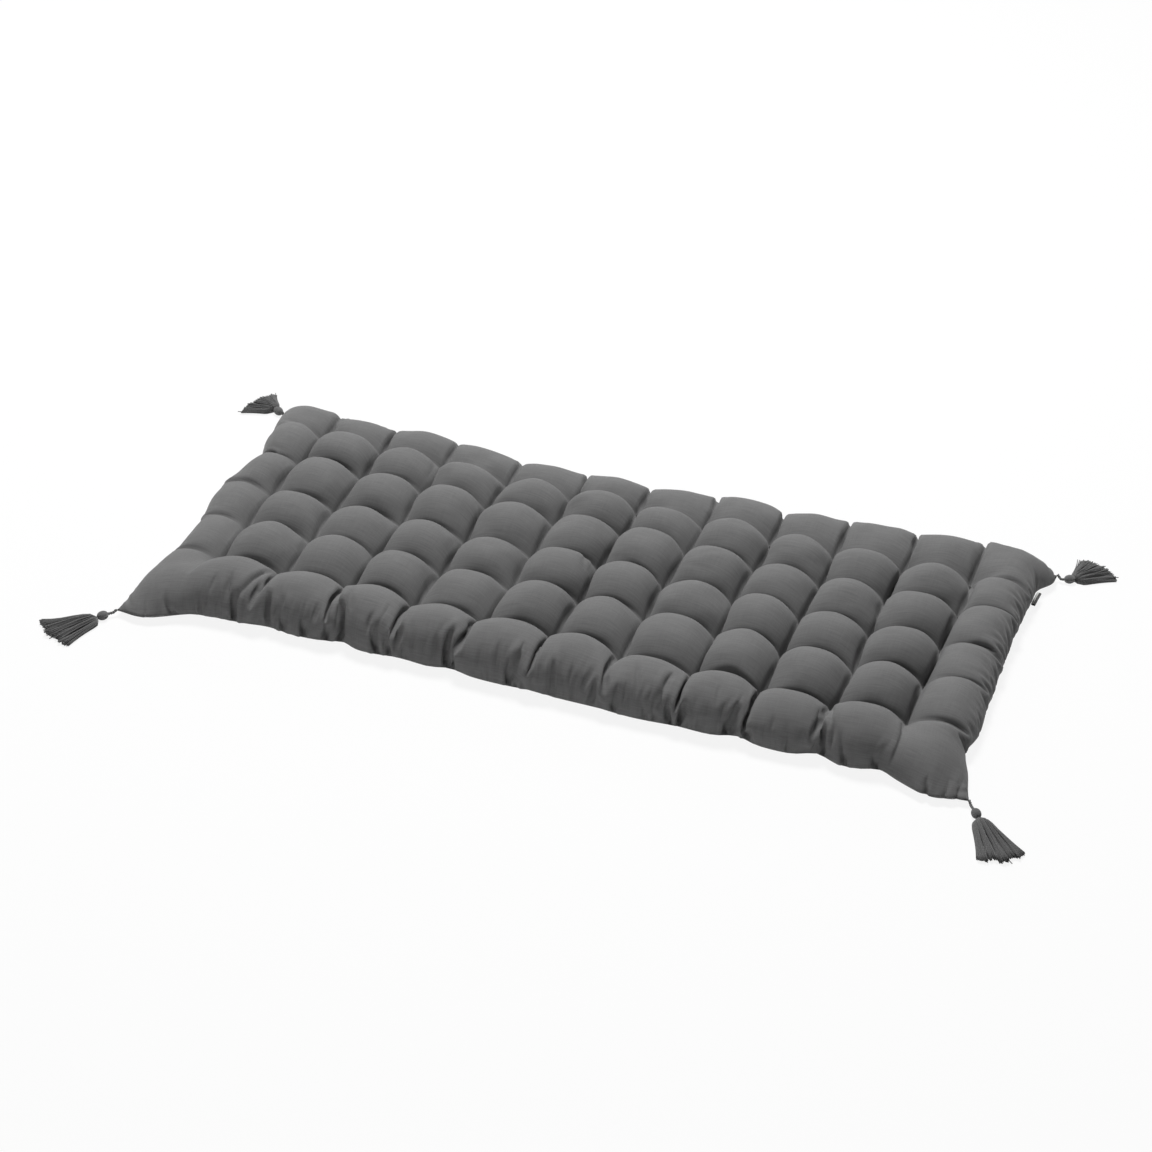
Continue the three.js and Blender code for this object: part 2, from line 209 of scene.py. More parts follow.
# %% [markdown]
# ## The plan of the cover
# The cover is one bag. Its seam runs round it, and stitched tufts hold the top to
# the underside on a grid of 11 by 5, which leaves 12 by 6 puffs. The grid isn't
# perfect: rows bow a little, and the seam is drawn in between the corner points.
# The same tables as in the CAD source keep the cloth where its solid is; only the
# gather beside the label and the sway of single tufts are added here. They are in
# millimetres from the middle tuft, and a place on the cover is counted in puffs: u
# from left to right and v from front to back.

# %% Tables of the plan
MM = 0.001
PITCH = 100
PUFFS_LONG = 12
PUFFS_WIDE = 6
SEAM_HEIGHT = 12
TIP_HEIGHT = 9
TUFT_TOP = 22

# Columns: x and how far the tufts are lifted to the back. Rows: y, bow, and the column
# that the bow is widest at.
COLUMNS = [
    (-498, 2), (-401, 2), (-303, 3), (-202, -4), (-99, -5), (0, 8),
    (100, -1), (203, -2), (301, -4), (400, -4), (498, 10),
]
ROWS = [(-202, -9, 8), (-97, 3, 6), (2, 2, 6), (104, 3, 6), (195, -9, 5)]
ROW_BOW_REACH = 2.4
SIDE_BOW_REACH = 3
SCALLOP = 3

# The tufts of a column lie off its line by up to this much, each by its own seeded sway.
SWAY = 4
sways = np.random.default_rng(26).uniform(-SWAY, SWAY, (len(COLUMNS), len(ROWS)))

# Each side: the seam's place, its bow and where that is, and how far and how soon
# the corner points at its start and end run out.
SIDES = {
    "left": (-567, 3, 3, -18, 0.5, -29, 0.6),
    "right": (593, -12, 4.8, 23, 0.5, 24, 0.7),
    "front": (-302, 0, 6, -28, 0.6, -6, 0.6),
    "back": (298, -20, 4.7, -10, 0.4, 8, 0.5),
}
CELLS = {"left": PUFFS_WIDE, "right": PUFFS_WIDE, "front": PUFFS_LONG, "back": PUFFS_LONG}
OUTWARD = {"left": -1, "right": 1, "front": -1, "back": 1}

# Where the seam is drawn in by a gather, or pushed out: place, depth and reach.
GATHERS = {
    "front": [
        (0.45, -31, 0.48), (2.2, 5, 0.2), (3.25, 12, 0.2), (4.2, 5, 0.3), (4.8, 10, 0.2),
        (7.3, -4, 0.5), (8.85, 12, 0.22), (10, 15, 0.22), (10.85, 12, 0.2), (11.55, -20, 0.35),
    ],
    "back": [
        (1.4, 16, 0.9), (2.1, 6, 0.24), (4.1, 14, 0.9), (6, 10, 0.7),
        (7.2, -8, 0.5), (7.9, 8, 0.24), (9.4, -14, 0.7), (11.1, -25, 0.9),
    ],
    "left": [(0.4, -12, 0.6), (2.7, -14, 0.6), (3.9, 13, 0.35), (5.2, -8, 0.6)],
    "right": [(0.85, 9, 0.3), (5.42, 5, 0.2), (5.75, -7, 0.2)],
}


def bell(distance, reach):
    return np.exp(-(distance / reach) ** 2)


def seam_line(side, places):
    """How far out the seam of a side lies, at places along it."""
    at, bow, bow_at, start, start_reach, end, end_reach = SIDES[side]
    near_start = np.exp(-places / start_reach)
    near_end = np.exp(-(CELLS[side] - places) / end_reach)
    line = at + bow * bell(places - bow_at, SIDE_BOW_REACH) + start * near_start + end * near_end
    line = line + OUTWARD[side] * SCALLOP * np.abs(np.sin(np.pi * places)) * (1 - near_start - near_end)
    for gather_at, depth, reach in GATHERS[side]:
        line = line - OUTWARD[side] * depth * bell(places - gather_at, reach)
    return line


front_seam = seam_line("front", np.linspace(0, PUFFS_LONG, 121))
print("front seam between", front_seam.min().round(1), "and", front_seam.max().round(1), "mm")

# %% [markdown]
# The creases between the tufts aren't straight either: the filling pushes each one a
# little to one side or the other, by a seeded bow. Behind the front row, the creases
# that run from front to back lean to the right on the whole, so their bows do too.

# %% Creases and the plan
COLUMN_BOW = 4
COLUMN_BOW_LEAN = 4
ROW_BOW = 4
bow_random = np.random.default_rng(11)
row_bows = bow_random.uniform(-ROW_BOW, ROW_BOW, (PUFFS_WIDE + 1, PUFFS_LONG))
column_bows = bow_random.uniform(-COLUMN_BOW, COLUMN_BOW, (PUFFS_WIDE, PUFFS_LONG - 1))
column_bows[1:] += COLUMN_BOW_LEAN


def cell_of(places, cells):
    return np.minimum(places.astype(int), cells - 1)


def column_line(i, vs):
    """x of the crease or seam number i, at places vs."""
    if i == 0:
        return seam_line("left", vs)
    if i == PUFFS_LONG:
        return seam_line("right", vs)
    j = cell_of(vs, PUFFS_WIDE)
    sway = np.interp(vs, np.arange(1, PUFFS_WIDE), sways[i - 1])
    return COLUMNS[i - 1][0] + sway + column_bows[j, i - 1] * np.sin(np.pi * (vs - j))


def row_line(j, us):
    """y of the crease or seam number j, at places us."""
    if j == 0:
        return seam_line("front", us)
    if j == PUFFS_WIDE:
        return seam_line("back", us)
    y, bow, bow_at = ROWS[j - 1]
    lift = np.interp(us, np.arange(1, PUFFS_LONG), [column[1] for column in COLUMNS])
    i = cell_of(us, PUFFS_LONG)
    bowed = row_bows[j, i] * np.sin(np.pi * (us - i))
    return y + bow * bell(us - bow_at, ROW_BOW_REACH) + lift + bowed


def all_lines(us, vs):
    """x of every column line at vs, and y of every row line at us."""
    xs = np.stack([column_line(i, vs) for i in range(PUFFS_LONG + 1)])
    ys = np.stack([row_line(j, us) for j in range(PUFFS_WIDE + 1)])
    return xs, ys


def plan(us, vs):
    """x and y of the grid of places us by vs."""
    xs, ys = all_lines(us, vs)
    i = cell_of(us, PUFFS_LONG)
    j = cell_of(vs, PUFFS_WIDE)
    along = (us - i)[:, None]
    across = (vs - j)[:, None]
    x = xs[i] * (1 - along) + xs[i + 1] * along
    y = (ys[j] * (1 - across) + ys[j + 1] * across).T
    return x, y


plan_x, plan_y = plan(np.linspace(0, PUFFS_LONG, 241), np.linspace(0, PUFFS_WIDE, 121))
shift = np.array([
    cover_middle.x - MM * (plan_x.min() + plan_x.max()) / 2,
    cover_middle.y - MM * (plan_y.min() + plan_y.max()) / 2,
    0,
])
print("the plan moves by", shift.round(5), "m into the model's frame")

# %% [markdown]
# ## Folds
# The edge of the cover is gathered into its seam, so more cloth arrives there than
# the seam is long. Each fold is a line on the cover: it takes a few millimetres of
# cloth where it meets the seam, and the seam is nipped in there. The longest lines
# are ties: a tuft pulls the cloth straight between itself and the seam, and the
# filling swells on both sides.

# %% Tables of the folds
# Each fold, in puffs: u and v where it starts, u and v where it ends, and its depth in
# mm. One that starts on the seam gathers it.
FRONT_FOLDS = [
    (0.45, 0, 0.4, 0.12, 1.5), (0.85, 0, 0.68, 0.18, 4), (1.12, 0, 1.1, 0.22, 1.5),
    (1.2, 0, 1.17, 0.24, 2.5), (1.31, 0.24, 1.35, 0.44, 2.5), (1.41, 0, 1.42, 0.2, 1.5),
    (1.7, 0, 1.6, 0.32, 5), (1.58, 0.15, 1.52, 0.52, 3), (1.7, 0.24, 1.95, 0.85, 5),
    (2.1, 0, 2.06, 0.16, 1.5), (2.17, 0.02, 2.2, 0.42, 3), (2.41, 0, 2.32, 0.25, 3.5),
    (2.38, 0.22, 2.35, 0.36, 2), (2.72, 0, 2.58, 0.26, 5), (2.67, 0.2, 2.64, 0.34, 1.5),
    (2.75, 0.2, 2.73, 0.36, 1.5), (2.84, 0.2, 2.8, 0.38, 1.5), (2.93, 0.45, 2.96, 0.85, 4),
    (3.05, 0, 3.01, 0.34, 5), (3.14, 0.2, 3.18, 0.46, 4), (3.18, 0.4, 3.04, 0.8, 4),
    (3.22, 0, 3.26, 0.38, 4.5), (3.37, 0.24, 3.28, 0.64, 3.5), (3.66, 0.18, 3.65, 0.4, 3),
    (3.81, 0, 3.66, 0.28, 5), (3.78, 0.34, 3.76, 0.54, 1.5), (3.99, 0, 3.93, 0.22, 4),
    (4.1, 0.12, 4.06, 0.8, 3.5), (4.2, 0, 4.18, 0.25, 1.5), (4.61, 0.1, 4.56, 0.34, 3),
    (4.77, 0, 4.7, 0.26, 5.5), (4.87, 0, 4.9, 0.3, 6), (4.89, 0.2, 4.97, 0.6, 5),
    (5.04, 0.28, 5.0, 0.85, 4), (5.51, 0.18, 5.49, 0.42, 3), (5.72, 0, 5.65, 0.3, 5.5),
    (5.82, 0.14, 5.76, 0.48, 4.5), (5.84, 0, 5.8, 0.14, 3), (6.08, 0.24, 6.02, 0.8, 3.5),
    (6.3, 0, 6.27, 0.12, 2), (6.57, 0.16, 6.56, 0.34, 1.5), (7.2, 0, 7.2, 0.16, 3.5),
    (7.33, 0.12, 7.3, 0.34, 2), (7.46, 0.22, 7.3, 0.66, 2.5), (7.61, 0, 7.48, 0.3, 2.5),
    (7.73, 0, 7.65, 0.26, 2.5), (7.8, 0.14, 7.74, 0.36, 5), (7.74, 0.32, 7.79, 0.62, 4.5),
    (7.94, 0, 7.83, 0.28, 5), (7.98, 0.2, 7.95, 0.85, 4.5), (8.05, 0, 8.08, 0.38, 6),
    (8.26, 0, 8.24, 0.18, 1.5), (8.4, 0, 8.43, 0.32, 1.5), (8.53, 0.3, 8.48, 0.54, 1.5),
    (8.61, 0.16, 8.62, 0.36, 2.5), (8.71, 0, 8.67, 0.2, 5), (8.75, 0.32, 8.77, 0.5, 2),
    (8.83, 0, 8.8, 0.26, 2), (9.05, 0, 8.99, 0.3, 5), (9.0, 0.2, 8.94, 0.5, 5),
    (8.94, 0.42, 9.0, 0.9, 5), (9.2, 0, 9.18, 0.15, 1.5), (9.39, 0.2, 9.37, 0.36, 1.5),
    (9.63, 0, 9.55, 0.3, 2.5), (9.95, 0.28, 9.86, 0.64, 2), (10.08, 0, 10.07, 0.26, 5.5),
    (10.08, 0.18, 10.0, 0.44, 5), (10.23, 0.14, 10.16, 0.44, 4), (10.17, 0.36, 10.0, 0.85, 4),
    (10.43, 0, 10.29, 0.3, 5), (10.82, 0, 10.72, 0.18, 4.5), (11.5, 0, 11.45, 0.17, 3.5),
    (11.72, 0, 11.7, 0.2, 2), (11.86, 0, 11.85, 0.22, 2),
]
INNER_FOLDS = [
    (5.74, 2.96, 5.83, 2.35, 2.5), (5.9, 2.9, 5.92, 2.4, 2), (2.88, 4.92, 2.91, 4.2, 2),
    (7.3, 3.38, 7.7, 3.6, 1), (7.25, 3.3, 7.6, 3.2, 0.8), (4.9, 3.9, 4.93, 3.3, 2),
    (8.92, 1.9, 8.9, 1.4, 1.5), (1.9, 1.95, 1.93, 1.4, 2), (6.15, 3.15, 6.6, 3.06, 1),
    (10.1, 4.2, 10.5, 4.08, 1), (3.93, 2.8, 3.9, 2.3, 1.5), (9.3, 4.7, 9.6, 4.75, 0.8),
]
BACK_FOLDS = [
    (0.9, 6, 0.93, 5.6, 2), (1.6, 6, 1.55, 5.8, 1.5), (2.06, 6, 2.0, 5.4, 3.5), (2.5, 6, 2.45, 5.75, 1.5),
    (2.7, 6, 2.72, 5.8, 1.5), (3.0, 6, 3.0, 5.5, 2), (3.5, 6, 3.46, 5.8, 1.5), (4.05, 6, 4.0, 5.4, 3),
    (5.0, 6, 5.0, 5.4, 4), (5.6, 6, 5.63, 5.8, 1.5), (6.0, 6, 6.0, 5.5, 2.5), (6.45, 6, 6.5, 5.75, 1.5),
    (6.7, 6, 6.66, 5.7, 1.5), (7.0, 6, 7.0, 5.5, 3), (7.95, 6, 8.0, 5.4, 4), (8.4, 6, 8.45, 5.7, 1.5),
    (9.0, 6, 9.0, 5.5, 3), (9.5, 6, 9.45, 5.8, 1.5), (10.0, 6, 10.0, 5.45, 4), (10.2, 6, 10.15, 5.7, 2.5),
    (10.45, 6, 10.5, 5.75, 1.5), (11.0, 6, 11.0, 5.6, 2),
]
LEFT_FOLDS = [
    (0, 1.0, 0.25, 1.04, 1.5), (0, 1.5, 0.25, 1.45, 1.5), (0, 2.0, 0.35, 2.0, 1.5),
    (0, 2.5, 0.2, 2.55, 1.5), (0, 3.1, 0.25, 3.0, 1.5), (0, 4.0, 0.4, 4.0, 2),
    (0, 4.4, 0.2, 4.35, 1.5), (0, 5.0, 0.25, 5.05, 1.5),
]
RIGHT_FOLDS = [
    (12, 0.85, 11.6, 0.9, 3.5), (12, 1.4, 11.8, 1.35, 1.5), (12, 2.0, 11.5, 2.0, 2.5),
    (12, 2.35, 11.7, 2.4, 2.5), (12, 2.6, 11.75, 2.55, 2.5), (12, 3.0, 11.5, 3.0, 2.5),
    (12, 3.3, 11.7, 3.35, 3), (12, 3.5, 11.8, 3.5, 2), (12, 4.0, 11.5, 4.0, 2.5),
    (12, 4.4, 11.75, 4.45, 1.5), (12, 5.0, 11.5, 5.0, 2.5),
]
FOLDS = {"front": FRONT_FOLDS, "back": BACK_FOLDS, "left": LEFT_FOLDS, "right": RIGHT_FOLDS}
# Each tie: place on the seam, number of its tuft, and how much shorter its line is.
TIES = {
    "front": [
        (1.8, 2, 5), (3.05, 3, 12), (4.1, 4, 5), (4.93, 5, 12),
        (6.08, 6, 4), (8.02, 8, 8), (9.03, 9, 12), (10.1, 10, 9),
    ],
    "back": [
        (0.9, 1, 4), (2.06, 2, 8), (3, 3, 6), (4.05, 4, 8), (5, 5, 12), (6, 6, 6),
        (7, 7, 10), (7.95, 8, 12), (9, 9, 10), (10, 10, 10), (11, 11, 5),
    ],
    "left": [(4, 4, 2)],
    "right": [(0.9, 1, 3), (2, 2, 2), (4, 4, 2)],
}
CLOTH_PER_DEPTH = 1.3
NIP_PER_DEPTH = 1.1
FOLD_SQUEEZE = 0.05
FOLD_FADE = 0.15
NIP_REACH = 0.04
SHALLOW_FOLD = 1.5
GATHER_END_FADE = 0.3
TIE_REACH = 0.035


def seam_folds(side):
    """Place along the seam and depth of each fold that gathers it."""
    along = 0 if side in ("front", "back") else 1
    seam = {"front": 0, "left": 0, "back": PUFFS_WIDE, "right": PUFFS_LONG}[side]
    return [(fold[along], fold[4]) for fold in FOLDS[side] if fold[1 - along] == seam]


def gathered(places, side):
    """Which places of the seam's plan the cloth's places are sewn to."""
    moved = np.zeros_like(places)
    for at, depth in seam_folds(side):
        off = places - at
        pull = CLOTH_PER_DEPTH * depth / PITCH / 2 * np.tanh(off / FOLD_SQUEEZE)
        moved = moved - pull * np.exp(-np.abs(off) / FOLD_FADE)
    to_end = np.minimum(places, CELLS[side] - places)
    return places + moved * np.clip(to_end / GATHER_END_FADE, 0, 1)


def nipped(places, side):
    """How far the seam is nipped in at each place; a shallow fold leaves it straight."""
    nips = np.zeros_like(places)
    for at, depth in seam_folds(side):
        nips = nips + max(depth - SHALLOW_FOLD, 0) * bell(places - at, NIP_REACH)
    return NIP_PER_DEPTH * nips


def shorter_by(places, depths, side):
    """How much shorter the cloth is along the ties of a side: places by depth."""
    short = np.zeros((len(places), len(depths)))
    for at, tuft, shorter in TIES[side]:
        line = at + (tuft - at) * depths
        short = short + shorter * bell(places[:, None] - line, TIE_REACH)
    return short * (depths < 1)


print("folds in the front seam:", len(seam_folds("front")))

# %% [markdown]
# ## How the cloth is made to bulge
# Blender's own Cloth could do this, but it works on loose points and is slow on a
# sheet this fine. The cover is a regular grid, so a small solver in numpy settles it
# in seconds: every link between two points wants its cut length, pressure pushes
# each point out along its normal, and the points of the seam and the tufts are held.
# First comes what the solver starts from: where the held points lie.

# %% Places and cut lengths of the cloth
ROOM = {"left": 38, "right": 40, "front": 48, "back": 26}
GATHERED = {"left": 1.03, "right": 1.07, "front": 1.1, "back": 1.05}
SLACK_ALONG = 1.25
SLACK_ACROSS = 1.225
ROW_CREASE_SLACK = 1.09
COLUMN_CREASE_SLACK = 1.05
CREASE_REACH = 0.25
CORNER_KEEPS = 0.25
CORNER_REACH = 0.8


def pinned_plan(us, vs):
    """The plan, with the seam gathered and nipped."""
    x, y = plan(us, vs)
    for side, row in (("front", 0), ("back", -1)):
        moved_x, moved_y = plan(gathered(us, side), vs[[row]])
        x[:, row] = moved_x[:, 0]
        y[:, row] = moved_y[:, 0] - OUTWARD[side] * nipped(us, side)
    for side, row in (("left", 0), ("right", -1)):
        moved_x, moved_y = plan(us[[row]], gathered(vs, side))
        x[row] = moved_x[0] - OUTWARD[side] * nipped(vs, side)
        y[row] = moved_y[0]
    return x, y


def away_from_corners(places, cells):
    """1 along a side, less near its two ends, where there is little spare cloth."""
    to_end = np.minimum(places, cells - places)
    return 1 - (1 - CORNER_KEEPS) * np.exp(-(to_end / CORNER_REACH) ** 2)


def slack(places, cells, over_puff, on_crease):
    """Spare cloth over a puff, less along the lines that the tufts pull straight."""
    line = np.clip(np.round(places), 1, cells - 1)
    return over_puff - (over_puff - on_crease) * bell(places - line, CREASE_REACH)


# How much fuller or flatter the puffs are: each by its own seeded share, more filling
# towards the right, and less along the back seam and in the front half of both ends.
FULLNESS_SPREAD = 0.025
FULLER_TO_RIGHT = 0.03
BACK_FLATTER = 0.06
END_FLATTER = 0.06
fullness_random = np.random.default_rng(14)
puff_fullness = fullness_random.uniform(-FULLNESS_SPREAD, FULLNESS_SPREAD, (PUFFS_LONG, PUFFS_WIDE))
puff_fullness += FULLER_TO_RIGHT * np.linspace(0, 1, PUFFS_LONG)[:, None]
puff_fullness[1:-1, -1] -= BACK_FLATTER
puff_fullness[[0, -1], :PUFFS_WIDE // 2] -= END_FLATTER


def cut_lengths(us, vs):
    """The cut length of every link of the grid, along the rows and across them."""
    between_us = (us[:-1] + us[1:]) / 2
    between_vs = (vs[:-1] + vs[1:]) / 2
    steps = round(1 / (us[1] - us[0]))
    xs, ys = all_lines(us, vs)
    i = cell_of(between_us, PUFFS_LONG)
    j = cell_of(between_vs, PUFFS_WIDE)
    wide = xs[i + 1] - xs[i]
    deep = (ys[j + 1] - ys[j]).T
    columns = np.array([column[0] for column in COLUMNS], float)
    inner = np.clip(i, 1, PUFFS_LONG - 2)
    pitches = columns[inner] - columns[inner - 1]
    along = slack(vs, PUFFS_WIDE, SLACK_ALONG, ROW_CREASE_SLACK)[None] * pitches[:, None]
    keeps_v = away_from_corners(vs, PUFFS_WIDE)[None]
    keeps_u = away_from_corners(us, PUFFS_LONG)[:, None]
    along = np.where((i == 0)[:, None], wide + ROOM["left"] * keeps_v, along)
    along = np.where((i == PUFFS_LONG - 1)[:, None], wide + ROOM["right"] * keeps_v, along)
    across = slack(us, PUFFS_LONG, SLACK_ACROSS, COLUMN_CREASE_SLACK)[:, None] * deep
    across = np.where((j == 0)[None], deep + ROOM["front"] * keeps_u, across)
    across = np.where((j == PUFFS_WIDE - 1)[None], deep + ROOM["back"] * keeps_u, across)
    along = along * (1 + puff_fullness[i][:, cell_of(vs, PUFFS_WIDE)])
    across = across * (1 + puff_fullness[cell_of(us, PUFFS_LONG)][:, j])
    across = across - shorter_by(us, between_vs, "front") - shorter_by(us, PUFFS_WIDE - between_vs, "back")
    along = along - shorter_by(vs, between_us, "left").T
    along = along - shorter_by(vs, PUFFS_LONG - between_us, "right").T
    inside_u = ((i > 0) & (i < PUFFS_LONG - 1))[:, None]
    inside_v = ((j > 0) & (j < PUFFS_WIDE - 1))[None]
    for side, depths in (("front", vs), ("back", PUFFS_WIDE - vs)):
        near = np.clip(1 - depths, 0, 1)[None]
        along = along * (1 + inside_u * (GATHERED[side] / SLACK_ALONG - 1) * near)
    for side, depths in (("left", us), ("right", PUFFS_LONG - us)):
        near = np.clip(1 - depths, 0, 1)[:, None]
        across = across * (1 + inside_v * (GATHERED[side] / SLACK_ACROSS - 1) * near)
    return (along / steps).astype(np.float32), (across / steps).astype(np.float32)


# %% [markdown]
# A link is solved for many points at once. That only works if no two links of a batch
# share a point, so the links are dealt into batches: odd and even ones along each
# way, the diagonals that keep the weave square, and links over two steps that
# stiffen the cloth against sharp bends.

# %% Links in batches
SHEAR_STIFFNESS = 0.05
BEND_STIFFNESS = 0.07
CREASED_STIFFNESS = 0.01


def bend_stiffness(count, cells):
    """How stiff the cloth is over each point of a line: soft where it is creased."""
    steps = (count - 1) // cells
    stiff = np.full(count - 2, BEND_STIFFNESS, np.float32)
    stiff[steps - 1::steps] = CREASED_STIFFNESS
    return stiff


def straight_links(along, across, steps, stiff_along, stiff_across):
    """Links over a number of steps, both ways, in batches that share no point."""
    rows = across.shape[0]
    columns = along.shape[1]
    every = slice(None)
    batches = []
    for turn in range(2 * steps):
        dealt = slice(turn, None, 2 * steps)
        near = (slice(turn, rows - steps, 2 * steps), every)
        far = (slice(turn + steps, rows, 2 * steps), every)
        batches.append((near, far, along[dealt], stiff_along[dealt]))
        near = (every, slice(turn, columns - steps, 2 * steps))
        far = (every, slice(turn + steps, columns, 2 * steps))
        batches.append((near, far, across[:, dealt], stiff_across[:, dealt]))
    return batches


def diagonal_links(along, across):
    rows = across.shape[0]
    columns = along.shape[1]
    mean_along = (along[:, :-1] + along[:, 1:]) / 2
    mean_across = (across[:-1] + across[1:]) / 2
    diagonal = np.sqrt(mean_along ** 2 + mean_across ** 2)
    low = slice(0, columns - 1)
    high = slice(1, columns)
    batches = []
    for odd in (0, 1):
        here = slice(odd, rows - 1, 2)
        there = slice(odd + 1, rows, 2)
        for left, right in ((low, high), (high, low)):
            batches.append(((here, left), (there, right), diagonal[odd::2], SHEAR_STIFFNESS))
    return batches


def link_batches(along, across):
    rows = across.shape[0]
    columns = along.shape[1]
    firm_along = np.ones((rows - 1, 1), np.float32)
    firm_across = np.ones((1, columns - 1), np.float32)
    stiff_along = bend_stiffness(rows, PUFFS_LONG)[:, None]
    stiff_across = bend_stiffness(columns, PUFFS_WIDE)[None]
    long_along = along[:-1] + along[1:]
    long_across = across[:, :-1] + across[:, 1:]
    return [
        *straight_links(along, across, 1, firm_along, firm_across),
        *diagonal_links(along, across),
        *straight_links(long_along, long_across, 2, stiff_along, stiff_across),
    ]


def solve_link(points, free, start, end, length, stiffness):
    """Moves both ends of each link towards its cut length."""
    apart = points[end] - points[start]
    now = np.maximum(np.sqrt((apart * apart).sum(2)), 1e-6)
    part = stiffness * (1 - length / now) / np.maximum(free[start] + free[end], 1e-9)
    points[start] += apart * (part * free[start])[..., None]
    points[end] -= apart * (part * free[end])[..., None]


def steps_between(points):
    """The way from the point before each point to the one after it, down the rows."""
    way = np.empty_like(points)
    way[1:-1] = points[2:] - points[:-2]
    way[0] = points[1] - points[0]
    way[-1] = points[-1] - points[-2]
    return way


def normals_of(points):
    along = steps_between(points)
    across = steps_between(points.transpose(1, 0, 2)).transpose(1, 0, 2)
    normal = np.cross(along, across)
    return normal / np.maximum(np.linalg.norm(normal, axis=2, keepdims=True), 1e-9)


# %% [markdown]
# Two neighbouring puffs press against each other over their crease. An upright wall
# through every crease stands for that: a point may come up to it, but not cross it.

# %% Walls between the puffs
WALL_GAP = 0.4
WALL_INTO_RING = 0.4
NO_WALL = 1e6
LOWEST = 1.5
PUFF_DOME = 45
PUFF_LIFT = 22
EDGE_RISE = 2.5


def walls_one_way(lines, places, others, other_cells):
    """Lowest and highest value that each point may have, between a set of lines."""
    cells = len(lines) - 1
    k = cell_of(places, cells)
    low = np.where((k > 0)[:, None], lines[k], -NO_WALL) + WALL_GAP
    high = np.where((k < cells - 1)[:, None], lines[k + 1], NO_WALL) - WALL_GAP
    for number in range(1, cells):
        on_line = np.argmin(np.abs(places - number))
        low[on_line] = lines[number] - WALL_GAP
        high[on_line] = lines[number] + WALL_GAP
    no_wall = (others < 1 - WALL_INTO_RING) | (others > other_cells - 1 + WALL_INTO_RING)
    low[:, no_wall] = -NO_WALL
    high[:, no_wall] = NO_WALL
    return low.astype(np.float32), high.astype(np.float32)


def puff_walls(us, vs):
    """Lowest and highest x and y that each point may have."""
    xs, ys = all_lines(us, vs)
    low_x, high_x = walls_one_way(xs, us, vs, PUFFS_WIDE)
    low_y, high_y = walls_one_way(ys, vs, us, PUFFS_LONG)
    return low_x, high_x, low_y.T, high_y.T


def near_crease(places, cells):
    """How near a crease each place is: 1 on it, and 0 in the middle of a puff."""
    i = cell_of(places, cells)
    share = places - i
    outer = np.where(i == 0, np.maximum(0, 2 * share - 1), np.maximum(0, 1 - 2 * share))
    return np.where((i == 0) | (i == cells - 1), outer, np.abs(2 * share - 1))


def starting_height(us, vs):
    """A rough quilt to start from, so that every puff bulges the right way."""
    near_x = near_crease(us, PUFFS_LONG)[:, None]
    near_y = near_crease(vs, PUFFS_WIDE)[None]
    edge_x = np.minimum(us, PUFFS_LONG - us)[:, None]
    edge_y = np.minimum(vs, PUFFS_WIDE - vs)[None]
    rise = np.sqrt(np.clip(np.minimum(edge_x, edge_y) * EDGE_RISE, 0, 1))
    dome = PUFF_DOME * (1 - near_x ** 2) * (1 - near_y ** 2)
    dome = dome + PUFF_LIFT * (1 - (near_x * near_y) ** 2)
    return SEAM_HEIGHT + rise * (TUFT_TOP - SEAM_HEIGHT + dome)


# %% [markdown]
# The cloth is settled twice: on a coarse grid, where big shapes form quickly, and on
# one twice as fine, where the small folds sharpen. Pressure per point falls with the
# square of the step, as each point then stands for less cloth.

# %% Settle the cover
PRESSURE = 0.12
PRESSURE_STEPS = 16
DAMPING = 0.9
# Each level: steps of the grid in a puff, steps in time, and rounds over the links.
LEVELS = ((16, 200, 6), (32, 60, 6))
ROUGHNESS = 0.15
TIP_FADE = 0.5


def with_middles(points):
    """The rows of points, with a new row halfway between each two."""
    rows = np.empty((2 * len(points) - 1, *points.shape[1:]), points.dtype)
    rows[::2] = points
    rows[1::2] = (points[1:] + points[:-1]) / 2
    return rows


def twice_as_fine(points):
    return with_middles(with_middles(points).transpose(1, 0, 2)).transpose(1, 0, 2).copy()


def held_points(us, vs, steps):
    """Where the cloth starts, and a mask of the points that are sewn."""
    x, y = pinned_plan(us, vs)
    points = np.stack([x, y, starting_height(us, vs)], 2)
    seam = np.zeros(x.shape, bool)
    seam[[0, -1]] = True
    seam[:, [0, -1]] = True
    tufts = np.zeros(x.shape, bool)
    tufts[steps:-steps:steps, steps:-steps:steps] = True
    to_tip = np.minimum(us, PUFFS_LONG - us)[:, None] + np.minimum(vs, PUFFS_WIDE - vs)[None]
    seam_height = TIP_HEIGHT + (SEAM_HEIGHT - TIP_HEIGHT) * np.clip(to_tip / TIP_FADE, 0, 1)
    points[..., 2] = np.where(seam, seam_height, points[..., 2])
    points[..., 2] = np.where(tufts, TUFT_TOP, points[..., 2])
    return points.astype(np.float32), seam | tufts


def settle(points, free, batches, walls, pressure, steps, rounds):
    speed = np.zeros_like(points)
    low_x, high_x, low_y, high_y = walls
    for _ in range(steps):
        speed = speed * DAMPING + normals_of(points) * (pressure * free)[..., None]
        moved = points + speed
        for _ in range(rounds):
            for start, end, length, stiffness in batches:
                solve_link(moved, free, start, end, length, stiffness)
            np.clip(moved[..., 0], low_x, high_x, out=moved[..., 0])
            np.clip(moved[..., 1], low_y, high_y, out=moved[..., 1])
            np.maximum(moved[..., 2], LOWEST, out=moved[..., 2])
        speed = moved - points
        points[:] = moved
    return float(np.abs(speed).max())


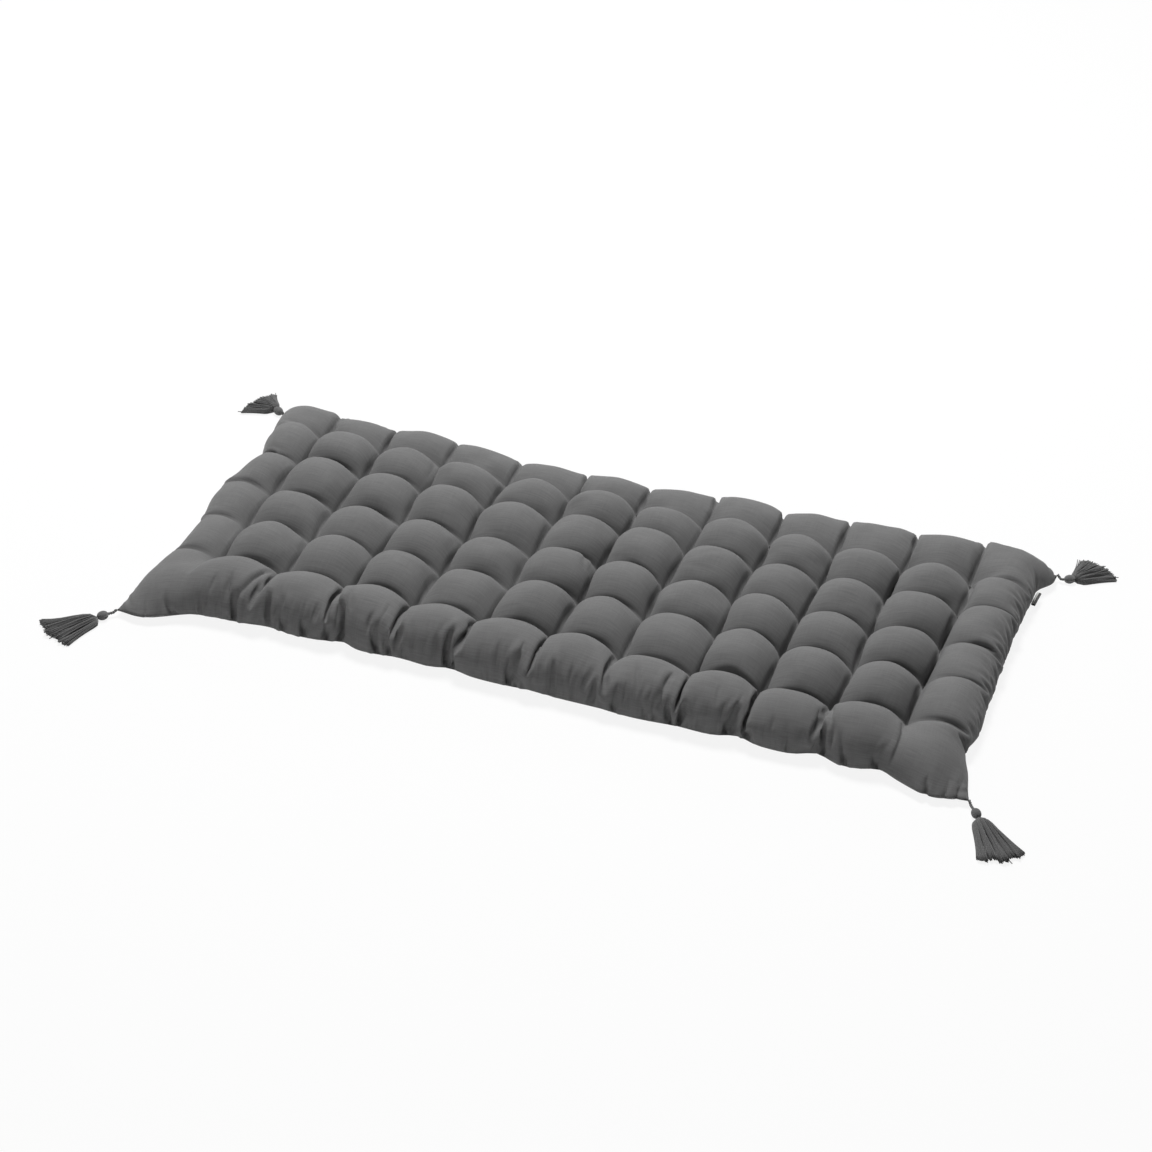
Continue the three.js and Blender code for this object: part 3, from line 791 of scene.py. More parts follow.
def settled_cover():
    shaking = np.random.default_rng(3)
    points = None
    for steps_a_puff, steps, rounds in LEVELS:
        us = np.linspace(0, PUFFS_LONG, PUFFS_LONG * steps_a_puff + 1)
        vs = np.linspace(0, PUFFS_WIDE, PUFFS_WIDE * steps_a_puff + 1)
        start, held = held_points(us, vs, steps_a_puff)
        points = start.copy() if points is None else twice_as_fine(points)
        points[held] = start[held]
        free = np.where(held, 0, 1).astype(np.float32)
        points[..., 2] += shaking.normal(0, ROUGHNESS, free.shape) * free
        along, across = cut_lengths(us, vs)
        batches = link_batches(along, across)
        pressure = PRESSURE * (PRESSURE_STEPS / steps_a_puff) ** 2
        last_move = settle(points, free, batches, puff_walls(us, vs), pressure, steps, rounds)
        print(steps_a_puff, "steps a puff: highest", points[..., 2].max().round(1), "mm")
        print("last move", round(last_move, 3), "mm")
    return points, us, vs, along, across


cover, cover_us, cover_vs, cut_along, cut_across = settled_cover()

# %% [markdown]
# ## Sharpen the folds
# Pressure smooths a solver's folds out, but real gathers are narrow: the cloth dives
# in along a line, steeply on one side and gently on the other. So each fold is
# pressed into the settled cloth along its normal, as a sculptor would do it. One
# that starts on the seam is deepest there, and the others are deepest in the middle.

# %% Press the folds in
FOLD_STEEP = 1.6
FOLD_GENTLE = 4.4
FOLD_LIP = 0.22
FOLD_LIP_AT = 7
FOLD_LIP_REACH = 4
FOLD_MARGIN = 0.3
FOLD_BEND = 0.02
FOLD_BEND_TURNS = (9, 5)
FOLD_START = 0.08
FOLD_FULLNESS = 0.8
FOLD_SEED = 8
FRONT_FOLDS_DEEPER = 1.35


def within(places, start, end):
    """Which places lie between two values in any order, or close to them."""
    low = min(start, end) - FOLD_MARGIN
    high = max(start, end) + FOLD_MARGIN
    return (places > low) & (places < high)


def press(points, us, vs, folds, deeper=1):
    """Presses folds into a sheet of points, along its normals."""
    inward = np.zeros(points.shape[:2])
    steep_sides = np.random.default_rng(FOLD_SEED).choice([-1, 1], len(folds))
    for (start_u, start_v, end_u, end_v, depth), turned in zip(folds, steep_sides):
        near_u = within(us, start_u, end_u)
        near_v = within(vs, start_v, end_v)
        way_u = end_u - start_u
        way_v = end_v - start_v
        length = math.hypot(way_u, way_v)
        from_u = us[near_u][:, None] - start_u
        from_v = vs[near_v][None] - start_v
        share = (from_u * way_u + from_v * way_v) / length ** 2
        bend = FOLD_BEND * math.sin(FOLD_BEND_TURNS[0] * start_u + FOLD_BEND_TURNS[1] * start_v)
        bent = bend * np.sin(np.pi * np.clip(share, 0, 1))
        off = ((from_u * way_v - from_v * way_u) / length + bent) * PITCH * turned
        fall = np.where(off > 0, np.exp(-off / FOLD_STEEP), np.exp(off / FOLD_GENTLE))
        fall = fall - FOLD_LIP * bell(np.abs(off) - FOLD_LIP_AT, FOLD_LIP_REACH)
        on_seam = start_v in (0, PUFFS_WIDE) or start_u in (0, PUFFS_LONG)
        if on_seam:
            middle = 0.5 + 0.5 * np.clip(share, 0, 1)
        else:
            middle = np.clip(share + FOLD_START, 0, 1)
        along = np.sin(np.pi * middle) ** FOLD_FULLNESS * (share < 1)
        inward[np.ix_(near_u, near_v)] += depth * deeper * fall * along
    return points - normals_of(points) * inward[..., None]


# %% [markdown]
# Between the big folds the gathered front is full of faint, short wrinkles. Nobody
# would look for any one of them, so they are drawn at random from a fixed seed.

# %% Scatter small wrinkles
SMALL_WRINKLES = 52
SMALL_LOWEST = 0.04
small_random = np.random.default_rng(17)
small_wrinkles = []
for start in small_random.uniform(0.3, PUFFS_LONG - 0.1, SMALL_WRINKLES):
    lean = small_random.normal(0, 0.03)
    rise = small_random.uniform(0.15, 0.42)
    depth = small_random.uniform(0.5, 1.5)
    small_wrinkles.append((start, SMALL_LOWEST, start + lean, SMALL_LOWEST + rise, depth))
print("small wrinkles:", len(small_wrinkles))

# %% [markdown]
# Where two puffs of a row touch, the cloth between them is tucked down into a narrow
# line that stays in shadow. The solver's grid leaves it a little open, so the points of
# each crease are drawn down by a seeded depth in mm. The folds do that work in the front
# row, so its creases are hardly tucked, and so are the creases between the rows.

# %% Tuck the creases
COLUMN_TUCK = 16
TUCK_SPREAD = 4
FRONT_TUCK = 2
ROW_TUCK = 1
BESIDE_CREASE = 0.35
TUCKED_ROWS = ((-1, BESIDE_CREASE), (0, 1), (1, BESIDE_CREASE))
TUCK_FADE = 0.65
tuck_sizes = (PUFFS_WIDE, PUFFS_LONG - 1)
column_tucks = COLUMN_TUCK + np.random.default_rng(6).uniform(-TUCK_SPREAD, TUCK_SPREAD, tuck_sizes)
column_tucks[0] = FRONT_TUCK
row_tucks = np.random.default_rng(4).uniform(0.5 * ROW_TUCK, 1.5 * ROW_TUCK, (PUFFS_WIDE, PUFFS_LONG))
row_tucks[:, [0, -1]] = 0


def tuck(depths, cells, places):
    """Depth along one crease: none at the tufts, and none at the seam."""
    to_seam = np.minimum(places, cells - places)
    hung = np.sqrt(np.abs(np.sin(np.pi * places))) * np.clip(to_seam / TUCK_FADE, 0, 1)
    return np.asarray(depths)[cell_of(places, cells)] * hung


def tucked(points, us, vs):
    """Draws down the points of each crease, and a little less the ones beside it."""
    steps = (len(us) - 1) // PUFFS_LONG
    height = points[..., 2]
    for k in range(1, PUFFS_LONG):
        down = tuck(column_tucks[:, k - 1], PUFFS_WIDE, vs)
        for row, share in TUCKED_ROWS:
            height[k * steps + row] -= share * down
    for k in range(1, PUFFS_WIDE):
        down = tuck(row_tucks[k], PUFFS_LONG, us)
        for row, share in TUCKED_ROWS:
            height[:, k * steps + row] -= share * down
    return points


# %% [markdown]
# The filling is teased fibre and never quite even. A gentle relief, with a lump or a
# hollow every few centimetres, keeps any two puffs from looking alike.

# %% Uneven filling
LUMP_HEIGHT = 0.9
LUMPS_PER_PUFF = 4
LUMP_FADE = 0.3
lump_counts = (PUFFS_LONG * LUMPS_PER_PUFF + 2, PUFFS_WIDE * LUMPS_PER_PUFF + 2)
lump_heights = np.random.default_rng(31).normal(0, LUMP_HEIGHT, lump_counts)


def blend(places, count):
    """Weights that run smoothly from one lump to the next."""
    i = places.astype(int)
    t = places - i
    weights = np.zeros((len(places), count))
    rows = np.arange(len(places))
    weights[rows, i] = 1 - t * t * (3 - 2 * t)
    weights[rows, i + 1] = t * t * (3 - 2 * t)
    return weights


def lumpy(points, us, vs):
    """Lifts the cloth along its normals by the relief of the filling."""
    over_us = blend(us * LUMPS_PER_PUFF, lump_counts[0])
    over_vs = blend(vs * LUMPS_PER_PUFF, lump_counts[1])
    lift = over_us @ lump_heights @ over_vs.T
    inner = np.minimum(np.minimum(us, PUFFS_LONG - us)[:, None], np.minimum(vs, PUFFS_WIDE - vs)[None])
    lift = lift * np.clip(inner / LUMP_FADE, 0, 1)
    return points + normals_of(points) * lift[..., None]


# %% [markdown]
# ## One closed mesh
# The settled sheet becomes the top of a closed bag. Its underside lies flat on the
# floor, drawn up a little along the creases and rolled up to the seam, on a coarser
# grid, as nobody looks closely there. Both share the points of the seam, so the bag
# has no gap. Each point also keeps where it lies on the flat cut cloth, as a UV map:
# the weave can then follow every fold.

# %% Build the cover
CREASE_UNDER = 3
CREASE_UNDER_REACH = 0.06
TUFT_UNDER = 8
UNDER_ROUND = 9
UNDER_STEP = 4
RING_STEPS = 20
RING_DENSITY = 3


def new_piece(name, points, faces, smooth=True):
    """A mesh object from points in metres in the model's frame."""
    mesh = bpy.data.meshes.new(name)
    mesh.from_pydata(np.asarray(points).tolist(), [], faces)
    mesh.validate()
    if smooth:
        mesh.shade_smooth()
    made = bpy.data.objects.new(name, mesh)
    bpy.context.scene.collection.objects.link(made)
    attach(made, "root")
    return made


def lay_out(mesh, flat, name="flat_cloth"):
    """A UV map from one flat place for each point."""
    layer = mesh.uv_layers.new(name=name)
    corner_points = np.zeros(len(mesh.loops), int)
    mesh.loops.foreach_get("vertex_index", corner_points)
    layer.data.foreach_set("uv", np.asarray(flat, np.float32)[corner_points].ravel())


def in_model(points):
    """From millimetres round the middle tuft to metres in the model's frame."""
    return np.asarray(points, float) * MM + shift


def to_seam_and_crease(places, cells):
    """How near the seam each place is, and how near a crease: 0 to 1 each."""
    i = cell_of(places, cells)
    share = places - i
    seam = np.where(i == 0, 1 - share, np.where(i == cells - 1, share, 0))
    crease = np.clip(np.round(places), 1, cells - 1)
    return seam, bell(places - crease, CREASE_UNDER_REACH)


def under_height(us, vs):
    """Height of the underside: up at the seam, and a little along the creases."""
    seam_u, channel_u = to_seam_and_crease(us, PUFFS_LONG)
    seam_v, channel_v = to_seam_and_crease(vs, PUFFS_WIDE)
    seam = np.maximum(seam_u[:, None], seam_v[None])
    either = np.maximum(channel_u[:, None], channel_v[None])
    both = channel_u[:, None] * channel_v[None]
    channel = (CREASE_UNDER * either + (TUFT_UNDER - CREASE_UNDER) * both) * np.sqrt(1 - seam ** 2)
    return np.maximum(channel, seam ** UNDER_ROUND * SEAM_HEIGHT)


def bag(grids, top, us, vs):
    """Points and faces: the top as a front ring and the rest, and an underside."""
    ring, rest = grids
    rows, columns = top.shape[:2]
    count = ring.shape[0] * ring.shape[1]
    upper = np.zeros((rows, columns), int)
    upper[:, RING_STEPS + 1:] = count + np.arange(rows * (columns - RING_STEPS - 1)).reshape(rows, -1)
    ring_numbers = np.arange(count).reshape(ring.shape[:2])
    upper[:, :RING_STEPS + 1] = ring_numbers[::RING_DENSITY]
    faces = quads(ring_numbers) + quads(upper[:, RING_STEPS + 1:])
    for a in range(rows - 1):
        edge = ring_numbers[RING_DENSITY * a:RING_DENSITY * (a + 1) + 1, -1].tolist()
        faces.append(edge + [int(upper[a + 1, RING_STEPS + 1]), int(upper[a, RING_STEPS + 1])])
    low_us = us[::UNDER_STEP]
    low_vs = vs[::UNDER_STEP]
    x, y = plan(low_us, low_vs)
    low_points = np.stack([x, y, under_height(low_us, low_vs)], 2)
    count = count + rest.shape[0] * rest.shape[1]
    lower = np.zeros(x.shape, int)
    lower[1:-1, 1:-1] = count + np.arange((x.shape[0] - 2) * (x.shape[1] - 2)).reshape(x.shape[0] - 2, -1)
    for row in (0, -1):
        lower[row] = upper[row, ::UNDER_STEP]
        lower[:, row] = upper[::UNDER_STEP, row]
    dense = UNDER_STEP * RING_DENSITY
    for a in range(x.shape[0] - 1):
        for b in range(x.shape[1] - 1):
            face = [lower[a, b]]
            if a == 0:
                face.extend(upper[0, UNDER_STEP * b + 1:UNDER_STEP * (b + 1)])
            face.append(lower[a, b + 1])
            if b == x.shape[1] - 2:
                face.extend(upper[UNDER_STEP * a + 1:UNDER_STEP * (a + 1), -1])
            face.append(lower[a + 1, b + 1])
            if a == x.shape[0] - 2:
                face.extend(upper[-1, UNDER_STEP * b + 1:UNDER_STEP * (b + 1)][::-1])
            face.append(lower[a + 1, b])
            if b == 0:
                face.extend(ring_numbers[dense * a + 1:dense * (a + 1), 0][::-1])
            faces.append([int(point) for point in face])
    inner_low = low_points[1:-1, 1:-1]
    points = np.concatenate([ring.reshape(-1, 3), rest.reshape(-1, 3), inner_low.reshape(-1, 3)])
    return points, faces, low_points


def quads(numbers):
    corners = (numbers[:-1, :-1], numbers[1:, :-1], numbers[1:, 1:], numbers[:-1, 1:])
    return np.stack(corners, 2).reshape(-1, 4).tolist()


def flat_places(along, across, us, vs):
    """Where each point lies on the cut cloth, in metres from its middle."""
    x = np.concatenate([[0], np.cumsum(along.mean(1))])
    y = np.concatenate([[0], np.cumsum(across.mean(0))])
    x, y = np.meshgrid(x - x[len(us) // 2], y - y[len(vs) // 2], indexing="ij")
    return np.stack([x, y], 2) * MM


def smooth_through(marks, count):
    """A Catmull-Rom curve through a few marks, or through rows of them."""
    marks = np.asarray(marks, float)
    ends = np.concatenate([2 * marks[:1] - marks[1:2], marks, 2 * marks[-1:] - marks[-2:-1]])
    places = np.linspace(0, len(marks) - 1, count)
    i = np.minimum(places.astype(int), len(marks) - 2)
    t = (places - i).reshape(-1, *[1] * (marks.ndim - 1))
    a, b, c, d = ends[i], ends[i + 1], ends[i + 2], ends[i + 3]
    bend = (2 * a - 5 * b + 4 * c - d) * t ** 2 + (3 * b - a - 3 * c + d) * t ** 3
    return 0.5 * (2 * b + (c - a) * t + bend)


def denser(values):
    """More rows, on a smooth curve through the ones there are."""
    return smooth_through(values, RING_DENSITY * (len(values) - 1) + 1)


flat = flat_places(cut_along, cut_across, cover_us, cover_vs)
folded = lumpy(tucked(cover.astype(float), cover_us, cover_vs), cover_us, cover_vs)
folded = press(folded, cover_us, cover_vs, BACK_FOLDS + LEFT_FOLDS + RIGHT_FOLDS + INNER_FOLDS)
ring = denser(folded[:, :RING_STEPS + 2])
ring_us = np.linspace(0, PUFFS_LONG, len(ring))
pressed = FRONT_FOLDS + small_wrinkles
high_folds = press(folded, cover_us, cover_vs, pressed, FRONT_FOLDS_DEEPER)
ring = press(ring, ring_us, cover_vs[:RING_STEPS + 2], pressed, FRONT_FOLDS_DEEPER)
ring = ring[:, :RING_STEPS + 1]
folded[:, RING_STEPS + 1:] = high_folds[:, RING_STEPS + 1:]
flat_ring = denser(flat[:, :RING_STEPS + 1])
rest = folded[:, RING_STEPS + 1:]
cover_points, cover_faces, under_points = bag((ring, rest), folded, cover_us, cover_vs)
cover_flat = np.concatenate([
    flat_ring.reshape(-1, 2),
    flat[:, RING_STEPS + 1:].reshape(-1, 2),
    under_points[1:-1, 1:-1, :2].reshape(-1, 2) * MM,
])
cover_piece = new_piece("cover", in_model(cover_points), cover_faces)
lay_out(cover_piece.data, cover_flat)
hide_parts("mattress")
print("cover:", len(cover_piece.data.polygons), "faces")

# %% [markdown]
# ## Tuft stitches
# At each tuft a strong thread goes down through the filling and back, and leaves a
# short bar of two strands in the bottom of the dimple. A bar is a small tube, and
# all of them make one piece.

# %% Stitch the tufts
STITCH_LENGTH = 9
STITCH_RADIUS = 0.55
STITCH_STRANDS = 2
STITCH_SPACING = 1.2
STITCH_RISE = 1.6
STITCH_BEND = 1.4
STITCH_TURN = 0.3


def frames_along(path):
    """Two directions square to a path at each of its points."""
    path = np.asarray(path, float)
    forward = np.gradient(path, axis=0)
    forward /= np.linalg.norm(forward, axis=1, keepdims=True)
    helper = np.array([0.0, 0.0, 1.0])
    if np.abs(forward @ helper).max() > 0.9:
        helper = np.array([0.31, 0.95, 0.0])
    side = np.cross(helper, forward)
    side /= np.linalg.norm(side, axis=1, keepdims=True)
    return side, np.cross(forward, side)


def round_path(side, rise, turns):
    """Directions all round a path, from two that are square to it."""
    return side[..., None, :] * np.cos(turns)[:, None] + rise[..., None, :] * np.sin(turns)[:, None]


def lengths_along(path):
    """How far each point of a path is from its start."""
    return np.concatenate([[0], np.cumsum(np.linalg.norm(np.diff(path, axis=0), axis=1))])


def faces_round(rows, sides, first=0):
    """Faces between rows of points that each go round once."""
    numbers = first + np.arange(rows * sides).reshape(rows, sides)
    after = np.roll(numbers, -1, 1)
    corners = (numbers[:-1], after[:-1], after[1:], numbers[1:])
    return numbers, np.stack(corners, 2).reshape(-1, 4).tolist()


def capped_rounds(rows, sides, first=0):
    """The same, closed by a face at each end."""
    numbers, faces = faces_round(rows, sides, first)
    return faces + [numbers[0][::-1].tolist(), numbers[-1].tolist()]


def tube(path, radii, sides=6, first=0):
    """Points, faces and UVs of a closed tube along a path."""
    path = np.asarray(path, float)
    radii = np.broadcast_to(np.asarray(radii, float), (len(path),))
    side, rise = frames_along(path)
    turns = 2 * np.pi * np.arange(sides) / sides
    points = path[:, None] + round_path(side, rise, turns) * radii[:, None, None]
    along = lengths_along(path)[:, None] * MM
    flat = np.stack(np.broadcast_arrays(along, turns[None] / (2 * np.pi)), 2)
    return points.reshape(-1, 3), capped_rounds(len(path), sides, first), flat.reshape(-1, 2)


def joined(parts):
    """Joins several tubes, each given as a function of its first point's number."""
    points = []
    faces = []
    flats = []
    count = 0
    for build in parts:
        some_points, some_faces, some_flat = build(count)
        points.append(some_points)
        faces.extend(some_faces)
        flats.append(some_flat)
        count += len(some_points)
    return np.concatenate(points), faces, np.concatenate(flats)


def stitch(middle, turn, strand):
    """One strand of a bar, bent down at both ends."""
    ways = np.linspace(-1, 1, 7)
    across = (strand - (STITCH_STRANDS - 1) / 2) * STITCH_SPACING
    along = ways * STITCH_LENGTH / 2
    path = np.stack([
        middle[0] + along * math.cos(turn) - across * math.sin(turn),
        middle[1] + along * math.sin(turn) + across * math.cos(turn),
        middle[2] + STITCH_RISE - STITCH_BEND * ways ** 2,
    ], 1)
    return lambda first: tube(path, STITCH_RADIUS, 6, first)


steps_a_puff = LEVELS[-1][0]
stitch_turns = np.random.default_rng(5)
stitches = []
inner_tufts = slice(steps_a_puff, -steps_a_puff, steps_a_puff)
for middle in cover[inner_tufts, inner_tufts].reshape(-1, 3):
    turn = stitch_turns.uniform(-STITCH_TURN, STITCH_TURN)
    for strand in range(STITCH_STRANDS):
        stitches.append(stitch(middle, turn, strand))
stitch_points, stitch_faces, stitch_flat = joined(stitches)
stitch_piece = new_piece("tuft_stitches", in_model(stitch_points), stitch_faces)
lay_out(stitch_piece.data, stitch_flat, "along_yarn")
print("tufts stitched:", len(stitches) // STITCH_STRANDS)

# %% [markdown]
# ## Tassels
# A tassel is a short two-ply cord out of the corner point, an oval of yarn wound
# round its head, and a skirt of cut yarn that fans out on the floor. All of it lies:
# the cord comes down to the ball, and the ball rests on the floor.
# First the route of each tassel, from a table like the one in the CAD source. The real
# balls are a little slimmer than their solids and sit a few millimetres tighter on the
# cord, and each skirt has its own way of falling.

# %% Where each tassel lies
GAP = 0.3
TASSELS = {
    "fl": {"cord": (-13, -16), "tighter": 8, "heading": 235, "length": 75, "spread": 79},
    "fr": {"cord": (13, -19), "tighter": 6.5, "heading": 303, "length": 92, "spread": 70},
    "bl": {"cord": (-7, 6), "tighter": 4, "heading": 161, "length": 38, "spread": 85},
    "br": {"cord": (12, -1), "tighter": 2, "heading": 60, "length": 60, "spread": 72},
}
CORD_RADIUS = 2.1
BALL_RADIUS = 6.6
BALL_LENGTH = 17
NECK = 0.5
CORD_START = 1.2
CORNERS = {"fl": (0, 0), "fr": (-1, 0), "bl": (0, -1), "br": (-1, -1)}


def unit(vector):
    vector = np.asarray(vector, float)
    return vector / np.linalg.norm(vector)


def route(corner):
    """Start and end of the cord, middle and lie of the ball, and neck of the skirt."""
    entry = TASSELS[corner]
    tip = cover[CORNERS[corner]].astype(float)
    outward = unit((*entry["cord"], 0))
    heading = math.radians(entry["heading"])
    headway = np.array([math.cos(heading), math.sin(heading), 0])
    lie = unit(outward + headway)
    start = np.array([tip[0], tip[1], TIP_HEIGHT]) + outward * (GAP + CORD_START)
    reach = np.array([tip[0] + entry["cord"][0], tip[1] + entry["cord"][1], BALL_RADIUS])
    reach = reach - lie * entry["tighter"]
    centre = reach + lie * BALL_LENGTH / 2
    neck = centre + lie * (BALL_LENGTH / 2 + GAP + NECK)
    return {"start": start, "end": reach, "centre": centre, "neck": neck, "lie": lie, "headway": headway}


routes = {corner: route(corner) for corner in TASSELS}
for corner, found in routes.items():
    print(corner, "ball at", in_model(found["centre"]).round(4))


def tassel_pieces(kind, build):
    """One piece of a kind for every corner, from its points, faces and UVs."""
    for corner, found in routes.items():
        points, faces, flat = build(corner, found)
        made = new_piece(kind + "_" + corner, in_model(points), faces)
        lay_out(made.data, flat, "along_yarn")
        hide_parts("tassel_" + kind + "_" + corner)



# %% [markdown]
# The cord is two plies twisted round each other. Each ply is a tube whose middle
# winds round the cord's own line.

# %% Twist the cords
PLY_TURN_LENGTH = 7
PLIES = 2
PLY_RADIUS = 1.15
PLY_SIDES = 8
PLY_OFF_MIDDLE = 0.95
CORD_STEPS = 64
CORD_INTO_COVER = 2.5
CORD_INTO_BALL = 1.5


def cord_line(found):
    """The middle of a cord: out of the corner point, sagging, and into the ball."""
    straight = found["end"] - found["lie"] * np.linalg.norm(found["end"] - found["start"]) / 3
    middle = (found["start"] + straight) / 2 - np.array([0, 0, CORD_RADIUS / 2])
    inside = found["start"] + unit(found["start"] - middle) * CORD_INTO_COVER
    end = found["end"] + found["lie"] * CORD_INTO_BALL
    return smooth_through([inside, found["start"], middle, straight, end], CORD_STEPS)


def ply(line, number):
    side, rise = frames_along(line)
    turns = 2 * np.pi * (lengths_along(line) / PLY_TURN_LENGTH + number / PLIES)
    winding = side * np.cos(turns)[:, None] + rise * np.sin(turns)[:, None]
    path = line + winding * PLY_OFF_MIDDLE
    return lambda first: tube(path, PLY_RADIUS, PLY_SIDES, first)


def twisted_cord(corner, found):
    line = cord_line(found)
    print(corner, "cord", round(float(lengths_along(line)[-1]), 1), "mm long")
    return joined([ply(line, number) for number in range(PLIES)])


tassel_pieces("cord", twisted_cord)

# %% [markdown]
# The ball is wound yarn: one strand after another, each lying beside the last. A
# lathed oval gets one ridge for each turn of yarn, and the ridges lean a little, as
# a wound thread does.

# %% Wind the balls
BALL_AROUND = 40
BALL_ALONG = 112
BALL_TURNS = 14
WINDING_DEPTH = 0.55
WINDING_LEAN = 0.6
WINDING_LEAN_AT = 0.7
BALL_SQUARE = 0.95
BALL_END = 0.3


def wound_ball(corner, found):
    ends = np.stack([found["centre"] - found["lie"], found["centre"] + found["lie"]])
    side, rise = frames_along(ends)
    polar = np.linspace(0, np.pi, BALL_ALONG)[1:-1]
    around = 2 * np.pi * np.arange(BALL_AROUND) / BALL_AROUND
    radius = (BALL_RADIUS - WINDING_DEPTH) * np.sin(polar) ** BALL_SQUARE
    height = -(BALL_LENGTH / 2 - BALL_END) * np.cos(polar)
    lean = WINDING_LEAN * np.sin(around + WINDING_LEAN_AT)
    turns = BALL_TURNS * (height[:, None] / BALL_LENGTH + 0.5) + around[None] / (2 * np.pi)
    turns = turns + 0.5 * lean[None] * np.sin(polar)[:, None]
    ridge = np.sqrt(np.abs(np.sin(np.pi * turns)))
    reach = radius[:, None] + WINDING_DEPTH * ridge * np.clip(3 * np.sin(polar), 0, 1)[:, None]
    ring = round_path(side[0], rise[0], around)
    points = found["centre"] + found["lie"] * height[:, None, None] + ring * reach[..., None]
    flat = np.stack([np.broadcast_to(around[None] * BALL_RADIUS * MM, turns.shape), turns], 2)
    return points.reshape(-1, 3), capped_rounds(len(polar), BALL_AROUND), flat.reshape(-1, 2)


tassel_pieces("ball", wound_ball)
print("balls wound with", BALL_TURNS, "turns each")

# %% [markdown]
# The skirt could be hair, but hair can't be exported as a solid piece. It is made of
# single strands instead: each is a thin tube that leaves the neck, arches over and
# comes down to the cut end. Strands hang together in locks, with grooves between
# them, and a few stray ones leave their lock.

# %% Cut the skirts
STRANDS = 520
STRAND_RADIUS = 0.75
STRAND_STEPS = 11
STRAND_SIDES = 5
SKIRT_HEIGHT = 16
LOCKS = 5
LOCK_PULL = 0.3
CUT_BOW = 0.13
STRAY = 0.6
STRAY_SHARE = 0.05
STRAY_REACH = 2.2
STRAY_LIFT = 0.8
GROOVE_DEPTH = 0.25
skirt_random = np.random.default_rng(21)
strand_radii = STRAND_RADIUS * np.interp(np.linspace(0, 1, STRAND_STEPS), [0, 0.15, 1], [0.7, 1, 0.85])


def strand_path(entry, found, share, level, stray):
    """One strand: share is -1 to 1 across the skirt and level 0 to 1 up from the floor."""
    across_way = np.array([-found["headway"][1], found["headway"][0], 0])
    t = np.linspace(0, 1, STRAND_STEPS)
    lock = min(int((share * 0.5 + 0.5) * LOCKS), LOCKS - 1)
    lock_middle = (lock + 0.5) / LOCKS * 2 - 1
    held = share + (lock_middle - share) * LOCK_PULL * np.sin(np.pi * t)
    uneven = 1 + 0.035 * stray + 0.03 * math.sin(3 * lock + entry["heading"])
    length = entry["length"] * (1 - CUT_BOW * share ** 2) * uneven
    width = entry["spread"] / 2 * (0.1 + 0.2 * np.clip(t / 0.12, 0, 1) ** 0.6 + 0.66 * t)
    arch = np.interp(t, [0, 0.12, 0.4, 1], [0.5, 0.85, 0.8, 0.5])
    thickness = SKIRT_HEIGHT * arch - 2 * STRAND_RADIUS
    groove = 1 - GROOVE_DEPTH * np.clip(4 * t, 0, 1) * abs(share - lock_middle) * LOCKS
    round_off = np.sqrt(np.clip(1 - (held * 0.96) ** 2, 0.06, 1))
    height = STRAND_RADIUS + thickness * level * round_off * groove
    height = height + STRAY_LIFT * abs(stray) * t ** 2
    sideways = held * width + stray * STRAY_REACH * t ** 2 * np.sin(7 * share + 5 * level)
    neck = np.array([found["neck"][0], found["neck"][1], 0])
    path = neck + found["headway"] * (length * t)[:, None] + across_way * sideways[:, None]
    path[:, 2] = np.maximum(height, STRAND_RADIUS)
    return path


def cut_skirt(corner, found):
    strands = []
    for _ in range(STRANDS):
        share = skirt_random.uniform(-1, 1)
        level = math.sqrt(skirt_random.uniform(0, 1))
        stray = float(skirt_random.normal(0, STRAY))
        if skirt_random.random() < STRAY_SHARE:
            stray = stray * 2
        path = strand_path(TASSELS[corner], found, share, level, stray)
        strands.append(lambda first, path=path: tube(path, strand_radii, STRAND_SIDES, first))
    return joined(strands)


tassel_pieces("skirt", cut_skirt)
print("skirts cut from", STRANDS, "strands each")

# %% [markdown]
# ## The label
# The label is a short woven tape, folded in half, with its two ends caught in the
# seam. It is a single strip bent round a small roll at its outer edge. The tape has a
# white band and a dark grey one, so each face keeps the number of its band. Its face is
# left blank.

# %% Fold the label
LABEL_AT = 231.5
LABEL_LENGTH = 35
LABEL_REACH = 6.5
LABEL_LEAF = 0.5
LABEL_GAP = 2.2
LABEL_TURN = math.radians(-3)
LABEL_SEAM_GAP = 1.2
WHITE_SHARE = 0.22
LABEL_CURL = 0.35


def label_section():
    """The middle line of the folded tape, out from the seam, round and back in."""
    radius = (LABEL_GAP + LABEL_LEAF) / 2
    out = LABEL_REACH - radius - LABEL_LEAF / 2
    turns = np.linspace(np.pi / 2, -np.pi / 2, 9)
    top = [(x, radius * (0.55 + 0.45 * x / out)) for x in np.linspace(0, out, 6)[:-1]]
    bend = [(out + radius * math.cos(a), radius * math.sin(a)) for a in turns]
    under = [(x, -radius * (0.55 + 0.45 * x / out)) for x in np.linspace(out, 0, 6)[1:]]
    return np.array(top + bend + under)


